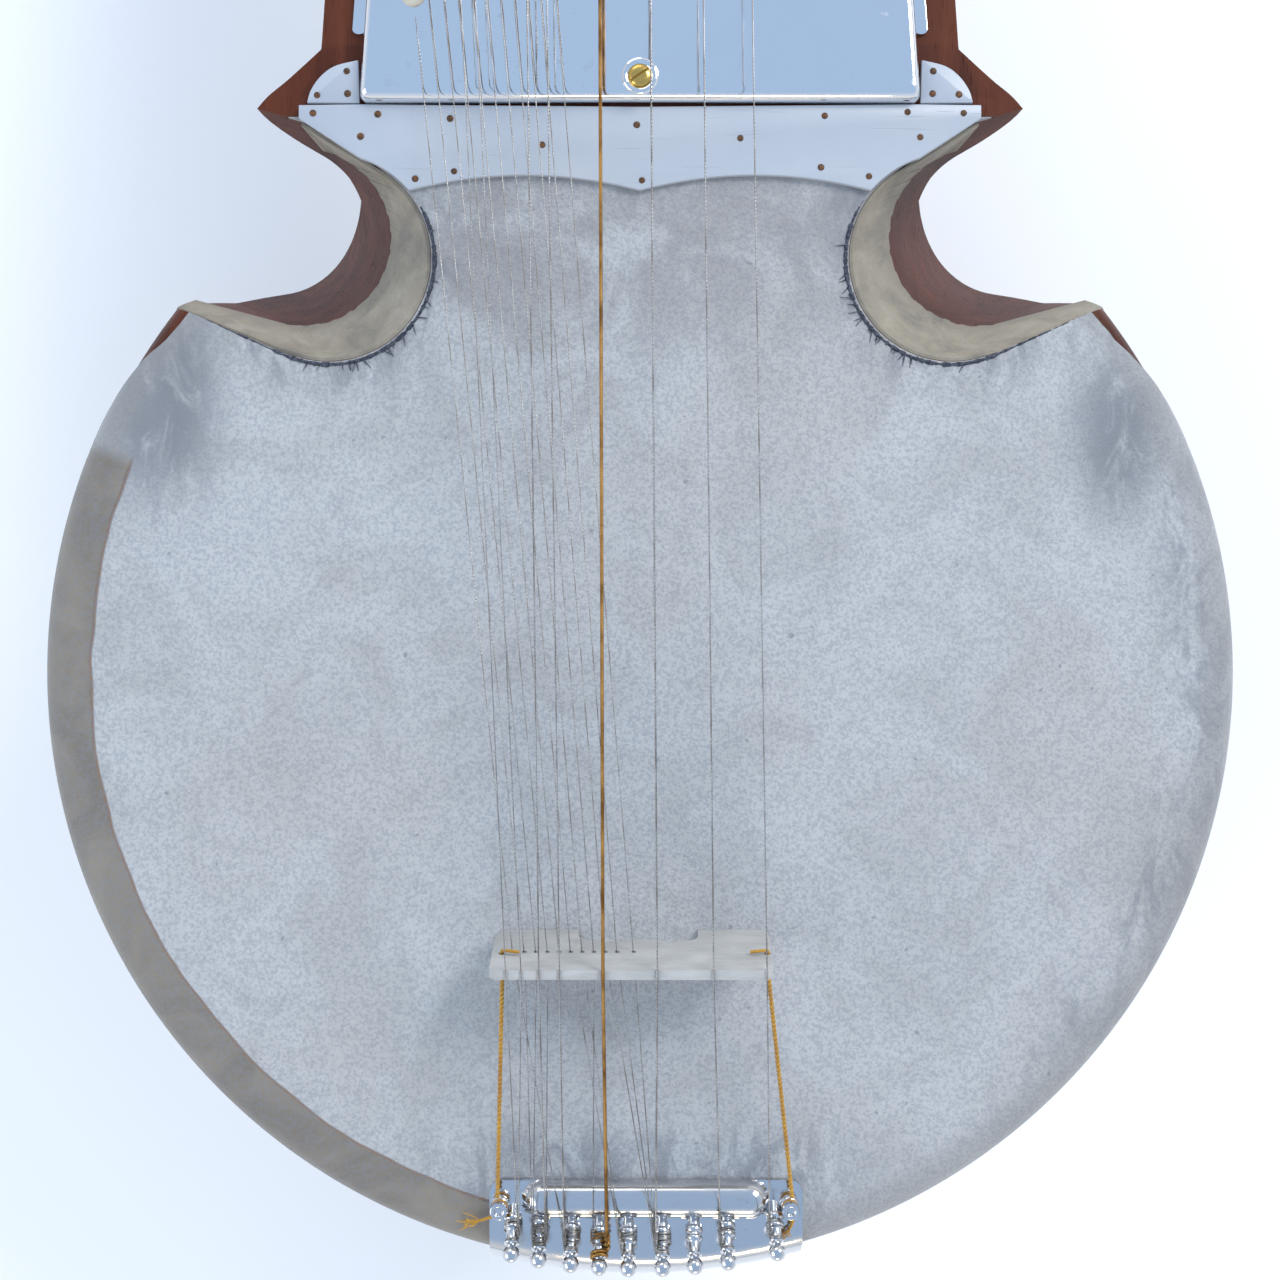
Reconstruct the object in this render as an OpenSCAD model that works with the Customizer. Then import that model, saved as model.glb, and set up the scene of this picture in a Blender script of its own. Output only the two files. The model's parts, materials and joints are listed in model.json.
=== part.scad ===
// Sarod: a fretless long lute with a skin belly, a steel fingerboard and nineteen strings.
// It lies on its back, face up. +X is the treble side, +Y runs from the belly to the head.
// The origin is the middle of the flat on the back of the belly.

/* [Belly] */
// Radius of the belly over the skin
belly_r = 152.5; // [147:0.5:160]
// Height of the skin's face above the back of the belly
belly_depth = 190; // [175:1:228]
// Height of the widest line of the bowl below the face
rim_drop = 22; // [20:1:26]
// Radius of the flat on the back
rest_r = 40; // [30:1:60]
// Thickness of the bowl's wall
bowl_wall = 7; // [5.5:0.5:9]
// Thickness of the skin
skin_t = 1.2; // [1:0.1:1.5]

/* [Waist] */
// Radius of the round part of each waist cut at the face
cut_r = 26; // [21.5:0.5:31]
// Distance of the cut's centre from the middle line
cut_x = 77.5; // [75:0.5:80]
// Distance of the cut's centre from the belly's centre
cut_y = 103; // [100:0.5:106]
// Width of the body across the upper barbs
barb_w = 192; // [184:1:200]

/* [Neck] */
// Distance from the belly's centre to the nut
nut_y = 552; // [500:1:663]
// Width of the steel plate at its lower end
plate_w = 139; // [134:1:146]
// Width of the steel plate at the nut
plate_nut_w = 72; // [66:1:86]
// Thickness of the steel plate
plate_t = 1; // [0.8:0.1:1.5]
// Height of the plate's top above the face
plate_h = 5; // [4:0.5:7]
// Width of the wooden rim outside the plate
neck_rim = 11; // [9:0.5:13]
// Thickness of the neck's wall at its top
neck_wall = 14; // [12:0.5:16]

/* [Pegbox] */
// Length of the open pegbox
pegbox_len = 190; // [185:1:228]
// Half width of the pegbox at its far end
pegbox_end_r = 36; // [34:0.5:40]
// Length of the carved finial
finial_len = 88; // [74:1:105]

/* [Pegs] */
// Diameter of a main peg's shaft
main_shaft_d = 10; // [8.5:0.5:12]
// Diameter of a side peg's shaft
side_shaft_d = 7; // [6:0.5:8.5]
// Gap between a peg's shaft and its bore, all round
peg_gap = 0.05; // [0.03:0.01:0.08]
// Distance from one main peg to the next
main_pitch = 30; // [28:0.5:31]
// Distance from one side peg to the next
side_pitch = 22; // [19:0.5:24]
// Depth of the main pegs' line below the face
main_peg_drop = 20; // [18:0.5:22]
// Depth of the side pegs' line below the face
side_peg_drop = 24; // [21:0.5:27]

/* [Bridge] */
// Height of the bridge
bridge_h = 25; // [21:0.5:30]
// Width of the bridge
bridge_w = 70; // [68:0.5:74]
// Thickness of the bridge
bridge_t = 3.4; // [2.8:0.1:4]
// Distance of the bridge's feet below the belly's centre
bridge_y = 66; // [60:1:72]
// Lean of the bridge towards the tail, in degrees
bridge_lean = 9; // [5:1:12]

/* [Tailpiece] */
// Width of the tailpiece
tail_w = 78; // [76:0.1:94]
// Distance of its straight top edge below the belly's centre
tail_y = 126.5; // [124:0.5:128]
// Thickness of its sheet
tail_t = 1.5; // [1:0.1:2]
// Diameter of a post's shank
post_d = 3; // [2.5:0.1:3.4]
// Diameter of a post's ball
ball_d = 4.2; // [3.8:0.1:5]

/* [Apron] */
// Thickness of the white apron
apron_t = 1.5; // [1.2:0.1:2]
// Diameter of the apron's pins
pin_d = 1.3; // [1:0.1:1.6]

/* [Hidden] */

$fn = 64;
far = 400;             // longer than any half width, for cutting blocks
glue = 0.05;           // glue line between curved faces
fit_gap = 0.05;        // gap round a pin, screw or post in its hole
face_z = belly_depth;
wood_z = face_z - skin_t;

// ---- belly ----
widest_z = face_z - rim_drop;
bowl_r = belly_r - skin_t;
rim_round = 7.3;       // width of the rounded rim of the bowl
rim_in_r = bowl_r - rim_round - 0.2;
bowl_steps = 14;
lap_drop = 20;         // how far the skin laps down the side

// ---- waist ----
waist_y = 97;          // the bowl's rim stops here and the waist begins
seam_y = 141;          // line where the apron meets the steel plate
cut_shelf = 18;        // depth of the parchment strip in the cut
cut_depth = 90;        // depth at which the cut runs out of the wood
barb_y = seam_y - 0.5;
shoulder_y = seam_y + 14;
block_y = 112;         // the waist is solid wood from here to the trough
trough_y = shoulder_y + 1;

// ---- neck ----
plate_len = nut_y - 1 - seam_y;
pegbox_y = nut_y + 10;
pegbox_end_y = pegbox_y + pegbox_len;
finial_y = pegbox_end_y + 10;
nut_r = plate_nut_w / 2 + neck_rim;
pegbox_wall = 12;
pegbox_floor = main_peg_drop + 10;
pegbox_end_depth = pegbox_floor + 8;
waist_r = neck_r(shoulder_y) + 6;
barb_depth = 40;       // the barbs fade out of the sides at this depth

// Half width of the plate at a distance y along the neck
function plate_half(y) = plate_w / 2
    - (plate_w - plate_nut_w) / 2 * pow(max(0, y - seam_y) / plate_len, 1.1);
// Outer radius of the neck and pegbox about the neck's axis
function neck_r(y) = y < nut_y ? plate_half(y) + neck_rim
    : nut_r + (pegbox_end_r - nut_r) * (y - nut_y) / (pegbox_end_y - nut_y);
// Half width of a round form of radius r at a depth below its axis
function half_at(r, drop) = sqrt(r * r - drop * drop);

// ---- strings ----
plate_top = face_z + plate_h;
nut_top = plate_top + 6;
bridge_top_y = -bridge_y - bridge_h * sin(bridge_lean);
bridge_top_z = face_z + bridge_h * cos(bridge_lean);
hole_up = 14;          // height of the bridge's string holes
hole_pitch = 2.78;
hole_first_x = -30.5;
guide_first_y = seam_y + 26;
guide_inset = 12;      // distance of the string guides inside the plate's edge
peg_after_guide = 24;  // each side peg stands this far beyond its guide

// Main, jod and chikari strings: x at the bridge, x at the nut, diameter, tail post, loop on it
main_strings = [[-8.6, -10.8, 1, 4, 0], [4, -0.1, 0.5, 6, 0], [17.1, 11.3, 0.42, 8, 0],
    [29.5, 21.3, 0.38, 9, 0]];
jod_strings = [[-23.5, -32, 0.4, 2, 0], [-18.7, -27.5, 0.4, 3, 0]];
chikari_strings = [[-31.2, -50.4, 0.3, 1, 0], [-27.6, -48.3, 0.3, 1, 1]];
chikari_post_y = [seam_y + 185, seam_y + 209];
chikari_post_h = 8;
string_air = 0.06;     // a string stands this far off what it crosses
// Tail post and loop of each sympathetic string
sympathetic_posts = [[3, 4.4], [2, 1], [2, 2], [2, 3], [3, 1.5], [5, 0], [5, 1], [4, 4],
    [6, 1], [6, 2], [6, 3]];
sympathetic_d = 0.28;
string_sides = 6;

// Main pegs: which side the head is on, place along the pegbox, x of the winding
main_pegs = [[-1, 4, -8], [1, 5, 2], [1, 3, 12], [1, 1, 20]];
jod_pegs = [[-1, 0, -22], [-1, 2, -17]];
main_peg_first_y = nut_y + 32;
winding_t = 0.9;       // thickness of the string wound on a peg

// ---- tail ----
tail_x = 1.5;
tail_r = belly_r + glue;
post_x = [-31.5, -24.8, -17, -10, -2.9, 5.5, 13.4, 21.5, 33.5];
post_ring_r = belly_r - 7;
post_up = 7.9;           // height of a ball above the face
post_tilt = 40;
post_len = 16;
loop_first = 2.6;      // distance of the first string loop behind a ball, and from loop to loop
loop_pitch = 0.75;
tail_screw_x = [tail_x - tail_w / 2 + 2.7, tail_x + tail_w / 2 - 3.4];
tail_screw_y = tail_y + 6;
post_u = [0, -cos(post_tilt), sin(post_tilt)];
post_v = [0, sin(post_tilt), cos(post_tilt)];

// ---- apron ----
apron_w = 170;
apron_low_y = 120;
lobe_rise = 3.8;
corner_x = 57.5;
pin_len = 7;
pin_head_d = pin_d + 0.5;
apron_pin_xy = [[-81.4, 139.2], [-65.3, 138.9], [-47.3, 137.8], [-0.8, 136.2], [25, 132.9],
    [46, 138.5], [66.6, 139.4], [80.6, 139.2], [69.8, 133.2], [45.1, 125.7], [57, 123.4],
    [0.5, 122.4], [-24.3, 131.3], [-46.3, 124.7], [-69.6, 133.4], [-56, 122.8]];
ear_pin_xy = [[-73, 149.6], [-80.4, 143.6], [-72.8, 144], [73, 149.6], [72.8, 144],
    [79.4, 143.8]];

// A round tube along points, as one closed mesh. hints says which way each ring is turned.
function unit(v) = v / norm(v);
function flat_to(v, t) = unit(v - (v * t) * t);
function way(p, i) = i == 0 ? unit(p[1] - p[0])
    : i == len(p) - 1 ? unit(p[i] - p[i - 1])
    : unit(unit(p[i] - p[i - 1]) + unit(p[i + 1] - p[i]));
module tube(points, hints, d, sides = string_sides) {
    rings = [for (i = [0:len(points) - 1])
        let (t = way(points, i), a = flat_to(hints[i], t), b = cross(t, a))
        for (k = [0:sides - 1])
            points[i] + d / 2 * (cos(360 * k / sides) * a + sin(360 * k / sides) * b)];
    last = (len(points) - 1) * sides;
    walls = [for (i = [0:len(points) - 2], k = [0:sides - 1])
        let (n = (k + 1) % sides, j = i * sides)
        each [[j + k, j + sides + k, j + sides + n], [j + k, j + sides + n, j + n]]];
    polyhedron(concat(rings), concat([[for (k = [0:sides - 1]) k]], walls,
        [[for (k = [sides - 1:-1:0]) last + k]]));
}

// ---------------------------------------------------------------- body
// Outside of the bowl: a quarter round from the flat to the widest line, then the rounded rim
bowl_outside = concat([[0, 0]],
    [for (i = [0:bowl_steps]) let (a = 90 * i / bowl_steps)
        [rest_r + (bowl_r - rest_r) * sin(a), widest_z * (1 - cos(a))]],
    [[bowl_r, wood_z - 12.8], [bowl_r - 1, wood_z - 6.8], [bowl_r - 3.8, wood_z - 1.8],
        [bowl_r - rim_round, wood_z], [0, wood_z]]);
bowl_inside = concat([[0, bowl_wall]],
    [for (i = [0:bowl_steps]) let (a = 90 * i / bowl_steps)
        [rest_r + (rim_in_r - rest_r) * sin(a), bowl_wall + (widest_z - bowl_wall) * (1 - cos(a))]],
    [[rim_in_r, face_z + 1], [0, face_z + 1]]);
neck_outside = concat([[0, 60], [waist_r, 60], [waist_r, barb_y], [neck_r(shoulder_y), shoulder_y]],
    [for (i = [1:8]) let (y = shoulder_y + (nut_y - shoulder_y) * i / 8) [neck_r(y), y]],
    [[neck_r(nut_y) - 1, nut_y + 6], [0, nut_y + 6]]);
barb_outside = [[0, 60], [barb_w / 2, 60], [barb_w / 2, barb_y], [barb_w / 2 - 4, barb_y + 4],
    [barb_w / 2 - 9, barb_y + 8], [neck_r(shoulder_y) - 1.2, shoulder_y + 0.6], [0, shoulder_y + 0.6]];
neck_trough = concat([[0, trough_y], [neck_r(trough_y) - neck_wall, trough_y]],
    [for (i = [1:8]) let (y = trough_y + (nut_y - 12 - trough_y) * i / 8)
        [neck_r(y) - neck_wall, y]],
    [[0, nut_y - 12]]);
pegbox_outline = [[neck_r(nut_y) + 0.8, nut_y], [pegbox_end_r, pegbox_end_y],
    [pegbox_end_r - 8, finial_y], [8 - pegbox_end_r, finial_y], [-pegbox_end_r, pegbox_end_y],
    [-neck_r(nut_y) - 0.8, nut_y]];
pegbox_hollow = [[neck_r(pegbox_y) - pegbox_wall, pegbox_y],
    [pegbox_end_r - pegbox_wall, pegbox_end_y - 10], [pegbox_wall - pegbox_end_r, pegbox_end_y - 10],
    [pegbox_wall - neck_r(pegbox_y), pegbox_y]];
finial_shape = [[0, -6], [20, -6], [19, 0], [14, 8], [16, 16], [22, 27], [24, 38], [21, 50],
    [13, 62], [8, finial_len - 16], [7, finial_len - 6], [4, finial_len - 1], [0, finial_len]];

// Turns a profile of radius and distance about the neck's axis, which runs along the face
module along_neck(profile, z = face_z) {
    translate([0, 0, z]) rotate([-90, 0, 0]) rotate_extrude() polygon(profile);
}

// Wedge-shaped cutter for one waist cut: a shelf for the strip, then a steeper wall
module waist_cutter(side, grow = 0) {
    mirror([side < 0 ? 1 : 0, 0, 0]) {
        hull() {
            translate([0, 0, face_z]) linear_extrude(far) cut_outline(grow);
            translate([cut_x + 11.5, cut_y + 11, face_z - cut_shelf])
                cylinder(r = cut_r - 2 + grow, h = 0.1, $fn = 32);
            translate([cut_x + 60, cut_y + 24, face_z - cut_shelf])
                cylinder(r = cut_r - 2 + grow, h = 0.1, $fn = 32);
        }
        hull() {
            translate([cut_x + 11.5, cut_y + 11, face_z - cut_shelf])
                cylinder(r = cut_r - 2 + grow, h = 0.1, $fn = 32);
            translate([cut_x + 60, cut_y + 24, face_z - cut_shelf])
                cylinder(r = cut_r - 2 + grow, h = 0.1, $fn = 32);
            translate([cut_x + 33, cut_y + 31.5, face_z - cut_depth])
                cylinder(r = cut_r - 16 + grow, h = 0.1, $fn = 32);
            translate([cut_x + 80, cut_y + 37, face_z - cut_depth])
                cylinder(r = cut_r - 16 + grow, h = 0.1, $fn = 32);
        }
    }
}
// Shapes whose hull is the outline of a waist cut at the face
module cut_outline(grow = 0) {
    translate([cut_x, cut_y]) circle(r = cut_r + grow, $fn = 32);
    polygon([[apron_w / 2 - grow / 2, seam_y - 3 + grow], [barb_w / 2 + 1, barb_y + grow],
        [far / 2, barb_y + grow], [far / 2, cut_y + 26.8 - 1.1 * grow]]);
}

module pin_holes(xy, z, depth, d) {
    for (p = xy) translate([p[0], p[1], z - depth]) cylinder(d = d, h = depth + 5);
}
module post_holes() {
    for (i = [0:len(post_x) - 1]) post_at(i) cylinder(d = post_d + 2 * fit_gap, h = post_len + 1);
}
module tail_screw_holes() {
    for (x = tail_screw_x) translate([x, -tail_screw_y, face_z - 12])
        cylinder(d = 2.5 + 2 * fit_gap, h = 20);
}

module body() {
    color("saddlebrown") difference() {
        union() {
            rotate_extrude() polygon(bowl_outside);
            intersection() {
                along_neck(neck_outside);
                translate([-far, 0, 0]) cube([2 * far, 4 * far, face_z]);
            }
            intersection() {
                along_neck(barb_outside);
                translate([-far, 0, face_z - barb_depth]) cube([2 * far, far, barb_depth]);
            }
            pegbox_block();
            finial();
        }
        // Cavity under the skin, with solid wood left at the waist and under the tailpiece
        difference() {
            rotate_extrude() polygon(bowl_inside);
            translate([-far, block_y, 0]) cube([2 * far, far, far]);
            translate([-tail_w / 2 - 6, -far - tail_y + 9, face_z - 45]) cube([tail_w + 15, far, far]);
            waist_guard(1);
            waist_guard(-1);
        }
        intersection() {
            along_neck(neck_trough);
            translate([-far, 0, 0]) cube([2 * far, 4 * far, face_z + 1]);
        }
        translate([0, 0, face_z - pegbox_floor]) linear_extrude(100) polygon(pegbox_hollow);
        // Seat for the skin at the waist
        translate([-far, waist_y - 30, wood_z]) cube([2 * far, seam_y - 2 - waist_y + 30, 50]);
        waist_cutter(1);
        waist_cutter(-1);
        pin_holes(apron_pin_xy, face_z, pin_len - apron_t + 0.5, pin_d + 2 * fit_gap);
        pin_holes(ear_pin_xy, face_z, pin_len - apron_t + 0.5, pin_d + 2 * fit_gap);
        post_holes();
        tail_screw_holes();
        for (p = plate_screw_xy) translate([p[0], p[1], face_z - 9])
            cylinder(d = screw_shank + 2 * fit_gap, h = 20);
        for (p = main_pegs) main_bore(p);
        for (p = jod_pegs) main_bore(p);
        for (k = [0:12]) side_bore(k);
    }
}
// Pegbox: flat sides, with the lower corners rounded off about the neck's axis
module pegbox_block() {
    top_r = neck_r(nut_y);
    round_r = 1.2;
    intersection() {
        translate([0, 0, face_z - top_r]) linear_extrude(top_r) polygon(pegbox_outline);
        rotate([90, 0, 90]) translate([0, 0, -far]) linear_extrude(2 * far)
            polygon([[nut_y, face_z - top_r], [pegbox_end_y, face_z - pegbox_end_depth],
                [finial_y, face_z - pegbox_end_depth + 6], [finial_y, face_z], [nut_y, face_z]]);
        along_neck([[0, nut_y], [top_r * round_r, nut_y], [pegbox_end_r * round_r, pegbox_end_y],
            [pegbox_end_r * round_r, finial_y], [0, finial_y]]);
    }
}
module finial() {
    translate([0, finial_y, face_z - 22]) rotate([-90, 0, 0]) rotate_extrude() polygon(finial_shape);
}
// Wood left standing round each waist cut
module waist_guard(side) {
    mirror([side < 0 ? 1 : 0, 0, 0]) hull() {
        translate([cut_x, cut_y, face_z]) cylinder(r = cut_r + bowl_wall + 1, h = 20, $fn = 32);
        translate([far / 2, cut_y, face_z]) cylinder(r = cut_r + bowl_wall + 1, h = 20, $fn = 32);
        translate([cut_x + 36, cut_y + 34, face_z - cut_depth])
            cylinder(r = cut_r - 4 + bowl_wall, h = 0.1, $fn = 32);
        translate([far / 2, cut_y + 34, face_z - cut_depth])
            cylinder(r = cut_r - 4 + bowl_wall, h = 0.1, $fn = 32);
    }
}

// ---------------------------------------------------------------- skin
module skin() {
    side_z = face_z - lap_drop;
    color("lightsteelblue") difference() {
        union() {
            intersection() {
                rotate_extrude() polygon([[0, wood_z], [bowl_r - rim_round, wood_z],
                    [bowl_r - 3.8 + glue, wood_z - 1.8 + glue], [bowl_r - 1 + glue, wood_z - 6.8 + glue],
                    [bowl_r + glue, wood_z - 12.8], [bowl_r + glue, side_z], [belly_r, side_z],
                    [belly_r, wood_z - 12.6], [belly_r - 0.9, wood_z - 6],
                    [belly_r - 4.2, face_z - 2], [belly_r - rim_round - 1.2, face_z], [0, face_z]]);
                translate([-far, waist_y - far, 0]) cube([2 * far, far, far]);
            }
            translate([-apron_w / 2 - 8, waist_y - 20, wood_z])
                cube([apron_w + 16, seam_y - 2.2 - waist_y + 20, skin_t]);
        }
        waist_cutter(1);
        waist_cutter(-1);
        pin_holes(apron_pin_xy, face_z, 6, pin_d + 2 * fit_gap);
        post_holes();
        tail_screw_holes();
    }
}
// Parchment strip glued on the shelf of a waist cut
module waist_strip(side) {
    color("tan") intersection() {
        difference() {
            waist_cutter(side, -glue);
            waist_cutter(side, -glue - 1);
            translate([-far, -far, -far]) cube([2 * far, 2 * far, far + face_z - cut_shelf + 0.5]);
            translate([-far, -far, wood_z - 0.6]) cube([2 * far, 2 * far, far]);
        }
        union() {
            rotate_extrude() polygon(bowl_outside);
            translate([0, 0, face_z]) rotate([-90, 0, 0])
                cylinder(r = barb_w / 2 - 1, h = barb_y);
        }
    }
}
module waist_strip_left() { waist_strip(-1); }
module waist_strip_right() { waist_strip(1); }

// ---------------------------------------------------------------- apron
lobe_r = (pow(corner_x / 2, 2) + pow(lobe_rise, 2)) / (2 * lobe_rise);
module apron() {
    color("aliceblue") difference() {
        translate([0, 0, face_z]) linear_extrude(apron_t) difference() {
            polygon([[-apron_w / 2, seam_y - 3], [-apron_w / 2, seam_y + 0.2], [-70, seam_y + 0.4],
                [0, seam_y - 0.2], [70, seam_y + 0.4], [apron_w / 2, seam_y + 0.2],
                [apron_w / 2, seam_y - 3], [corner_x, apron_low_y], [0, apron_low_y],
                [-corner_x, apron_low_y]]);
            for (s = [-1, 1]) translate([s * corner_x / 2, apron_low_y + lobe_rise - lobe_r])
                circle(r = lobe_r, $fn = 128);
        }
        for (s = [0, 1]) mirror([s, 0, 0]) translate([cut_x, cut_y, face_z - 1])
            cylinder(r = cut_r + 0.2, h = 5);
        pin_holes(apron_pin_xy, face_z + 1, 2, pin_d + 2 * fit_gap);
    }
}
module ear(side) {
    edge = plate_half(seam_y) + 0.4;
    color("aliceblue") difference() {
        translate([0, 0, face_z]) linear_extrude(apron_t) mirror([side < 0 ? 1 : 0, 0])
            polygon([[edge, seam_y + 0.7], [83, seam_y + 0.6], [82.2, seam_y + 4],
                [79.8, seam_y + 7.4], [76, seam_y + 10], [edge, seam_y + 11.6]]);
        pin_holes(ear_pin_xy, face_z + 1, 2, pin_d + 2 * fit_gap);
    }
}
module ear_left() { ear(-1); }
module ear_right() { ear(1); }
module apron_pins() {
    color("saddlebrown") for (p = concat(apron_pin_xy, ear_pin_xy))
        translate([p[0], p[1], face_z + apron_t]) {
            translate([0, 0, -pin_len + 0.1]) cylinder(d = pin_d, h = pin_len);
            cylinder(d = pin_head_d, h = 0.25);
        }
}

// ---------------------------------------------------------------- fingerboard
screw_shank = 3;
plate_screw_xy = [[0, seam_y + 6], [0, nut_y - 7]];
strip_w = 3.3;         // width of the plate's turned-out edge
strip_y = seam_y + 18;
plate_ys = [for (i = [0:8]) seam_y + plate_len * i / 8];
module plate_outline(out, from_y) {
    ys = concat([from_y], [for (y = plate_ys) if (y > from_y) y]);
    polygon(concat([for (y = ys) [plate_half(y) + out, y]],
        [for (i = [len(ys) - 1:-1:0]) [-plate_half(ys[i]) - out, ys[i]]]));
}
module fingerboard_plate() {
    color("silver") difference() {
        union() {
            difference() {
                translate([0, 0, face_z]) linear_extrude(plate_h) plate_outline(0, seam_y + 0.6);
                translate([0, 0, face_z - 1]) linear_extrude(plate_h - plate_t + 1)
                    plate_outline(-plate_t, seam_y + 0.6 + plate_t);
                translate([0, 0, face_z - 1]) linear_extrude(plate_h - plate_t + 1)
                    translate([-plate_nut_w / 2 + plate_t + 1, nut_y - 3])
                        square([plate_nut_w - 2 * plate_t - 2, 10]);
            }
            translate([0, 0, face_z]) linear_extrude(plate_t) difference() {
                plate_outline(strip_w, strip_y);
                plate_outline(-plate_t, strip_y - 1);
            }
        }
        for (p = plate_screw_xy) translate([p[0], p[1], face_z - 1])
            cylinder(d = screw_shank + 2 * fit_gap, h = 10);
        for (g = guides) translate([g[0], g[1], face_z]) cylinder(d = 3.4 + 2 * fit_gap, h = 10);
        for (k = [0, 1]) translate([chikari_strings[k][1], chikari_post_y[k], face_z])
            cylinder(d = 3 + 2 * fit_gap, h = 10);
    }
}
module plate_screws() {
    color("goldenrod") for (p = plate_screw_xy) translate([p[0], p[1], plate_top]) difference() {
        union() {
            cylinder(d1 = 5.6, d2 = 5, h = 1.1);
            translate([0, 0, -12]) cylinder(d = screw_shank, h = 12.1);
        }
        rotate([0, 0, 35]) translate([-4, -0.4, 0.4]) cube([8, 0.8, 2]);
    }
}
module nut() {
    h = nut_top - face_z;
    color("ivory") translate([-plate_nut_w / 2, nut_y, face_z]) rotate([90, 0, 90])
        linear_extrude(plate_nut_w) polygon([[0, 0], [5, 0], [5, h - 4], [1.6, h], [0.4, h], [0, h - 0.4]]);
}
function guide_y(k) = guide_first_y + side_pitch * k;
function guide_x(k) = -(plate_half(guide_y(k)) - guide_inset);
// Guide holes: those of the sympathetic strings first, then those of the chikari strings
guides = concat([for (k = [0:10]) [guide_x(k), guide_y(k)]],
    [for (y = chikari_post_y) [-(plate_half(y + 13) - 5), y + 13]]);
module string_grommets() {
    color("ivory") for (g = guides) translate([g[0], g[1], plate_top])
        rotate_extrude() polygon([[1, -1.6], [1.7, -1.6], [1.7, 0], [3, 0], [3, 0.5],
            [2.4, 1], [1.4, 1], [1, 0.6]]);
}
module chikari_posts() {
    color("goldenrod") for (k = [0, 1])
        translate([chikari_strings[k][1], chikari_post_y[k], plate_top])
            rotate_extrude() polygon([[0, -plate_t - 1], [2.4, -plate_t - 1], [2.4, -plate_t],
                [1.5, -plate_t], [1.5, 0], [3, 0], [3, 1], [1.7, 2], [1.7, 5.5], [2.4, 6.3],
                [2.4, chikari_post_h], [0, chikari_post_h]]);
}

// ---------------------------------------------------------------- bridge
module on_bridge() {
    translate([0, -bridge_y, face_z]) rotate([bridge_lean, 0, 0]) children();
}
module bridge() {
    w = bridge_w / 2;
    arch = 8;
    color("ivory") intersection() {
        on_bridge() difference() {
            rotate([90, 0, 0]) translate([0, 0, -bridge_t / 2]) linear_extrude(bridge_t) polygon(
                [[-w - 1, -2], [-w - 1, 6], [-w, bridge_h - 1], [-w + 1, bridge_h],
                [w - 3.5, bridge_h], [w - 2.5, bridge_h - 1], [w - 1.5, 6], [w - 1.5, -2],
                [14.4, -2], [14.4, arch - 3], [12, arch - 0.8], [7, arch], [4.3, arch - 1],
                [0, arch - 2.2], [-4.7, arch - 1], [-8, arch], [-13, arch - 0.8],
                [-15.5, arch - 3], [-15.5, -2]]);
            for (k = [0:10]) translate([hole_x(k), 0, hole_up]) rotate([90, 0, 0])
                cylinder(d = 1.2, h = 20, center = true);
            for (x = bridge_tie_x) translate([x, 0, hole_up + 1]) rotate([90, 0, 0])
                cylinder(d = 1.6, h = 20, center = true);
        }
        translate([-far, -far, face_z]) cube([2 * far, 2 * far, far]);
    }
}
bridge_tie_x = [-33, 30.5];
function hole_x(k) = hole_first_x + hole_pitch * k + (k == 10 ? 1.2 : 0);
// A point given along, through and up the bridge, in the instrument's frame
function bridge_point(x, y, z) = [x, -bridge_y + y * cos(bridge_lean) - z * sin(bridge_lean),
    face_z + y * sin(bridge_lean) + z * cos(bridge_lean)];
module bridge_tie(i) {
    end = [tail_screw_x[i] + (i == 0 ? -1 : 1) * 0.4, -tail_screw_y + 2.9, face_z + tail_t + 3.2];
    points = [bridge_point(bridge_tie_x[i], bridge_t / 2 + 0.8, hole_up + 1),
        bridge_point(bridge_tie_x[i], -bridge_t / 2 - 1, hole_up + 1), end];
    color("goldenrod") tube(points, [post_v, post_v, post_v], 1.2, 8);
}
module bridge_tie_left() { bridge_tie(0); }
module bridge_tie_right() { bridge_tie(1); }

// ---------------------------------------------------------------- tailpiece
module tailpiece() {
    r = tail_r;
    z = face_z;
    low = z - 28;
    color("silver") difference() {
        union() {
            intersection() {
                rotate_extrude() polygon([[tail_y - 10, z], [r - rim_round - 1.2, z],
                    [r - 4.2, z - 2 + glue], [r - 0.9, z - skin_t - 6 + glue],
                    [r, z - skin_t - 12.6], [r, low],
                    [r + tail_t, low], [r + tail_t, z - 12], [r + tail_t - 1, z - 5],
                    [r - 3, z + tail_t - 1.6], [r - rim_round - 0.5, z + tail_t],
                    [tail_y - 10, z + tail_t]]);
                translate([tail_x - tail_w / 2, -far - tail_y, 0]) cube([tail_w, far, far]);
            }
            // Raised ridge along the top edge
            intersection() {
                translate([tail_x, -tail_y - 4.7, z + 0.4]) rotate([0, 90, 0])
                    cylinder(r = 4.6, h = tail_w - 17, center = true);
                translate([-far, -far, z + tail_t / 2]) cube([2 * far, 2 * far, far]);
            }
        }
        post_holes();
        tail_screw_holes();
    }
}
module tailpiece_screws() {
    color("silver") for (x = tail_screw_x) translate([x, -tail_screw_y, face_z + tail_t]) {
        translate([0, 0, -11.5]) cylinder(d = 2.5, h = 12);
        cylinder(d = 4.4, h = 1);
        translate([0, 0, 1]) cylinder(d = 2.6, h = 2.2);
        translate([0, 0, 3.2]) cylinder(d = 4.4, h = 1.6);
    }
}
function post_ball(i) = [post_x[i], -sqrt(pow(post_ring_r, 2) - pow(post_x[i], 2)),
    face_z + post_up];
// Puts children at a post with their +Z pointing back along the post, into the wood
module post_at(i) {
    translate(post_ball(i)) rotate([-90 - post_tilt, 0, 0]) children();
}
module tailpiece_posts() {
    color("silver") for (i = [0:len(post_x) - 1]) post_at(i) {
        sphere(d = ball_d);
        cylinder(d = post_d, h = post_len);
    }
}

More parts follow.
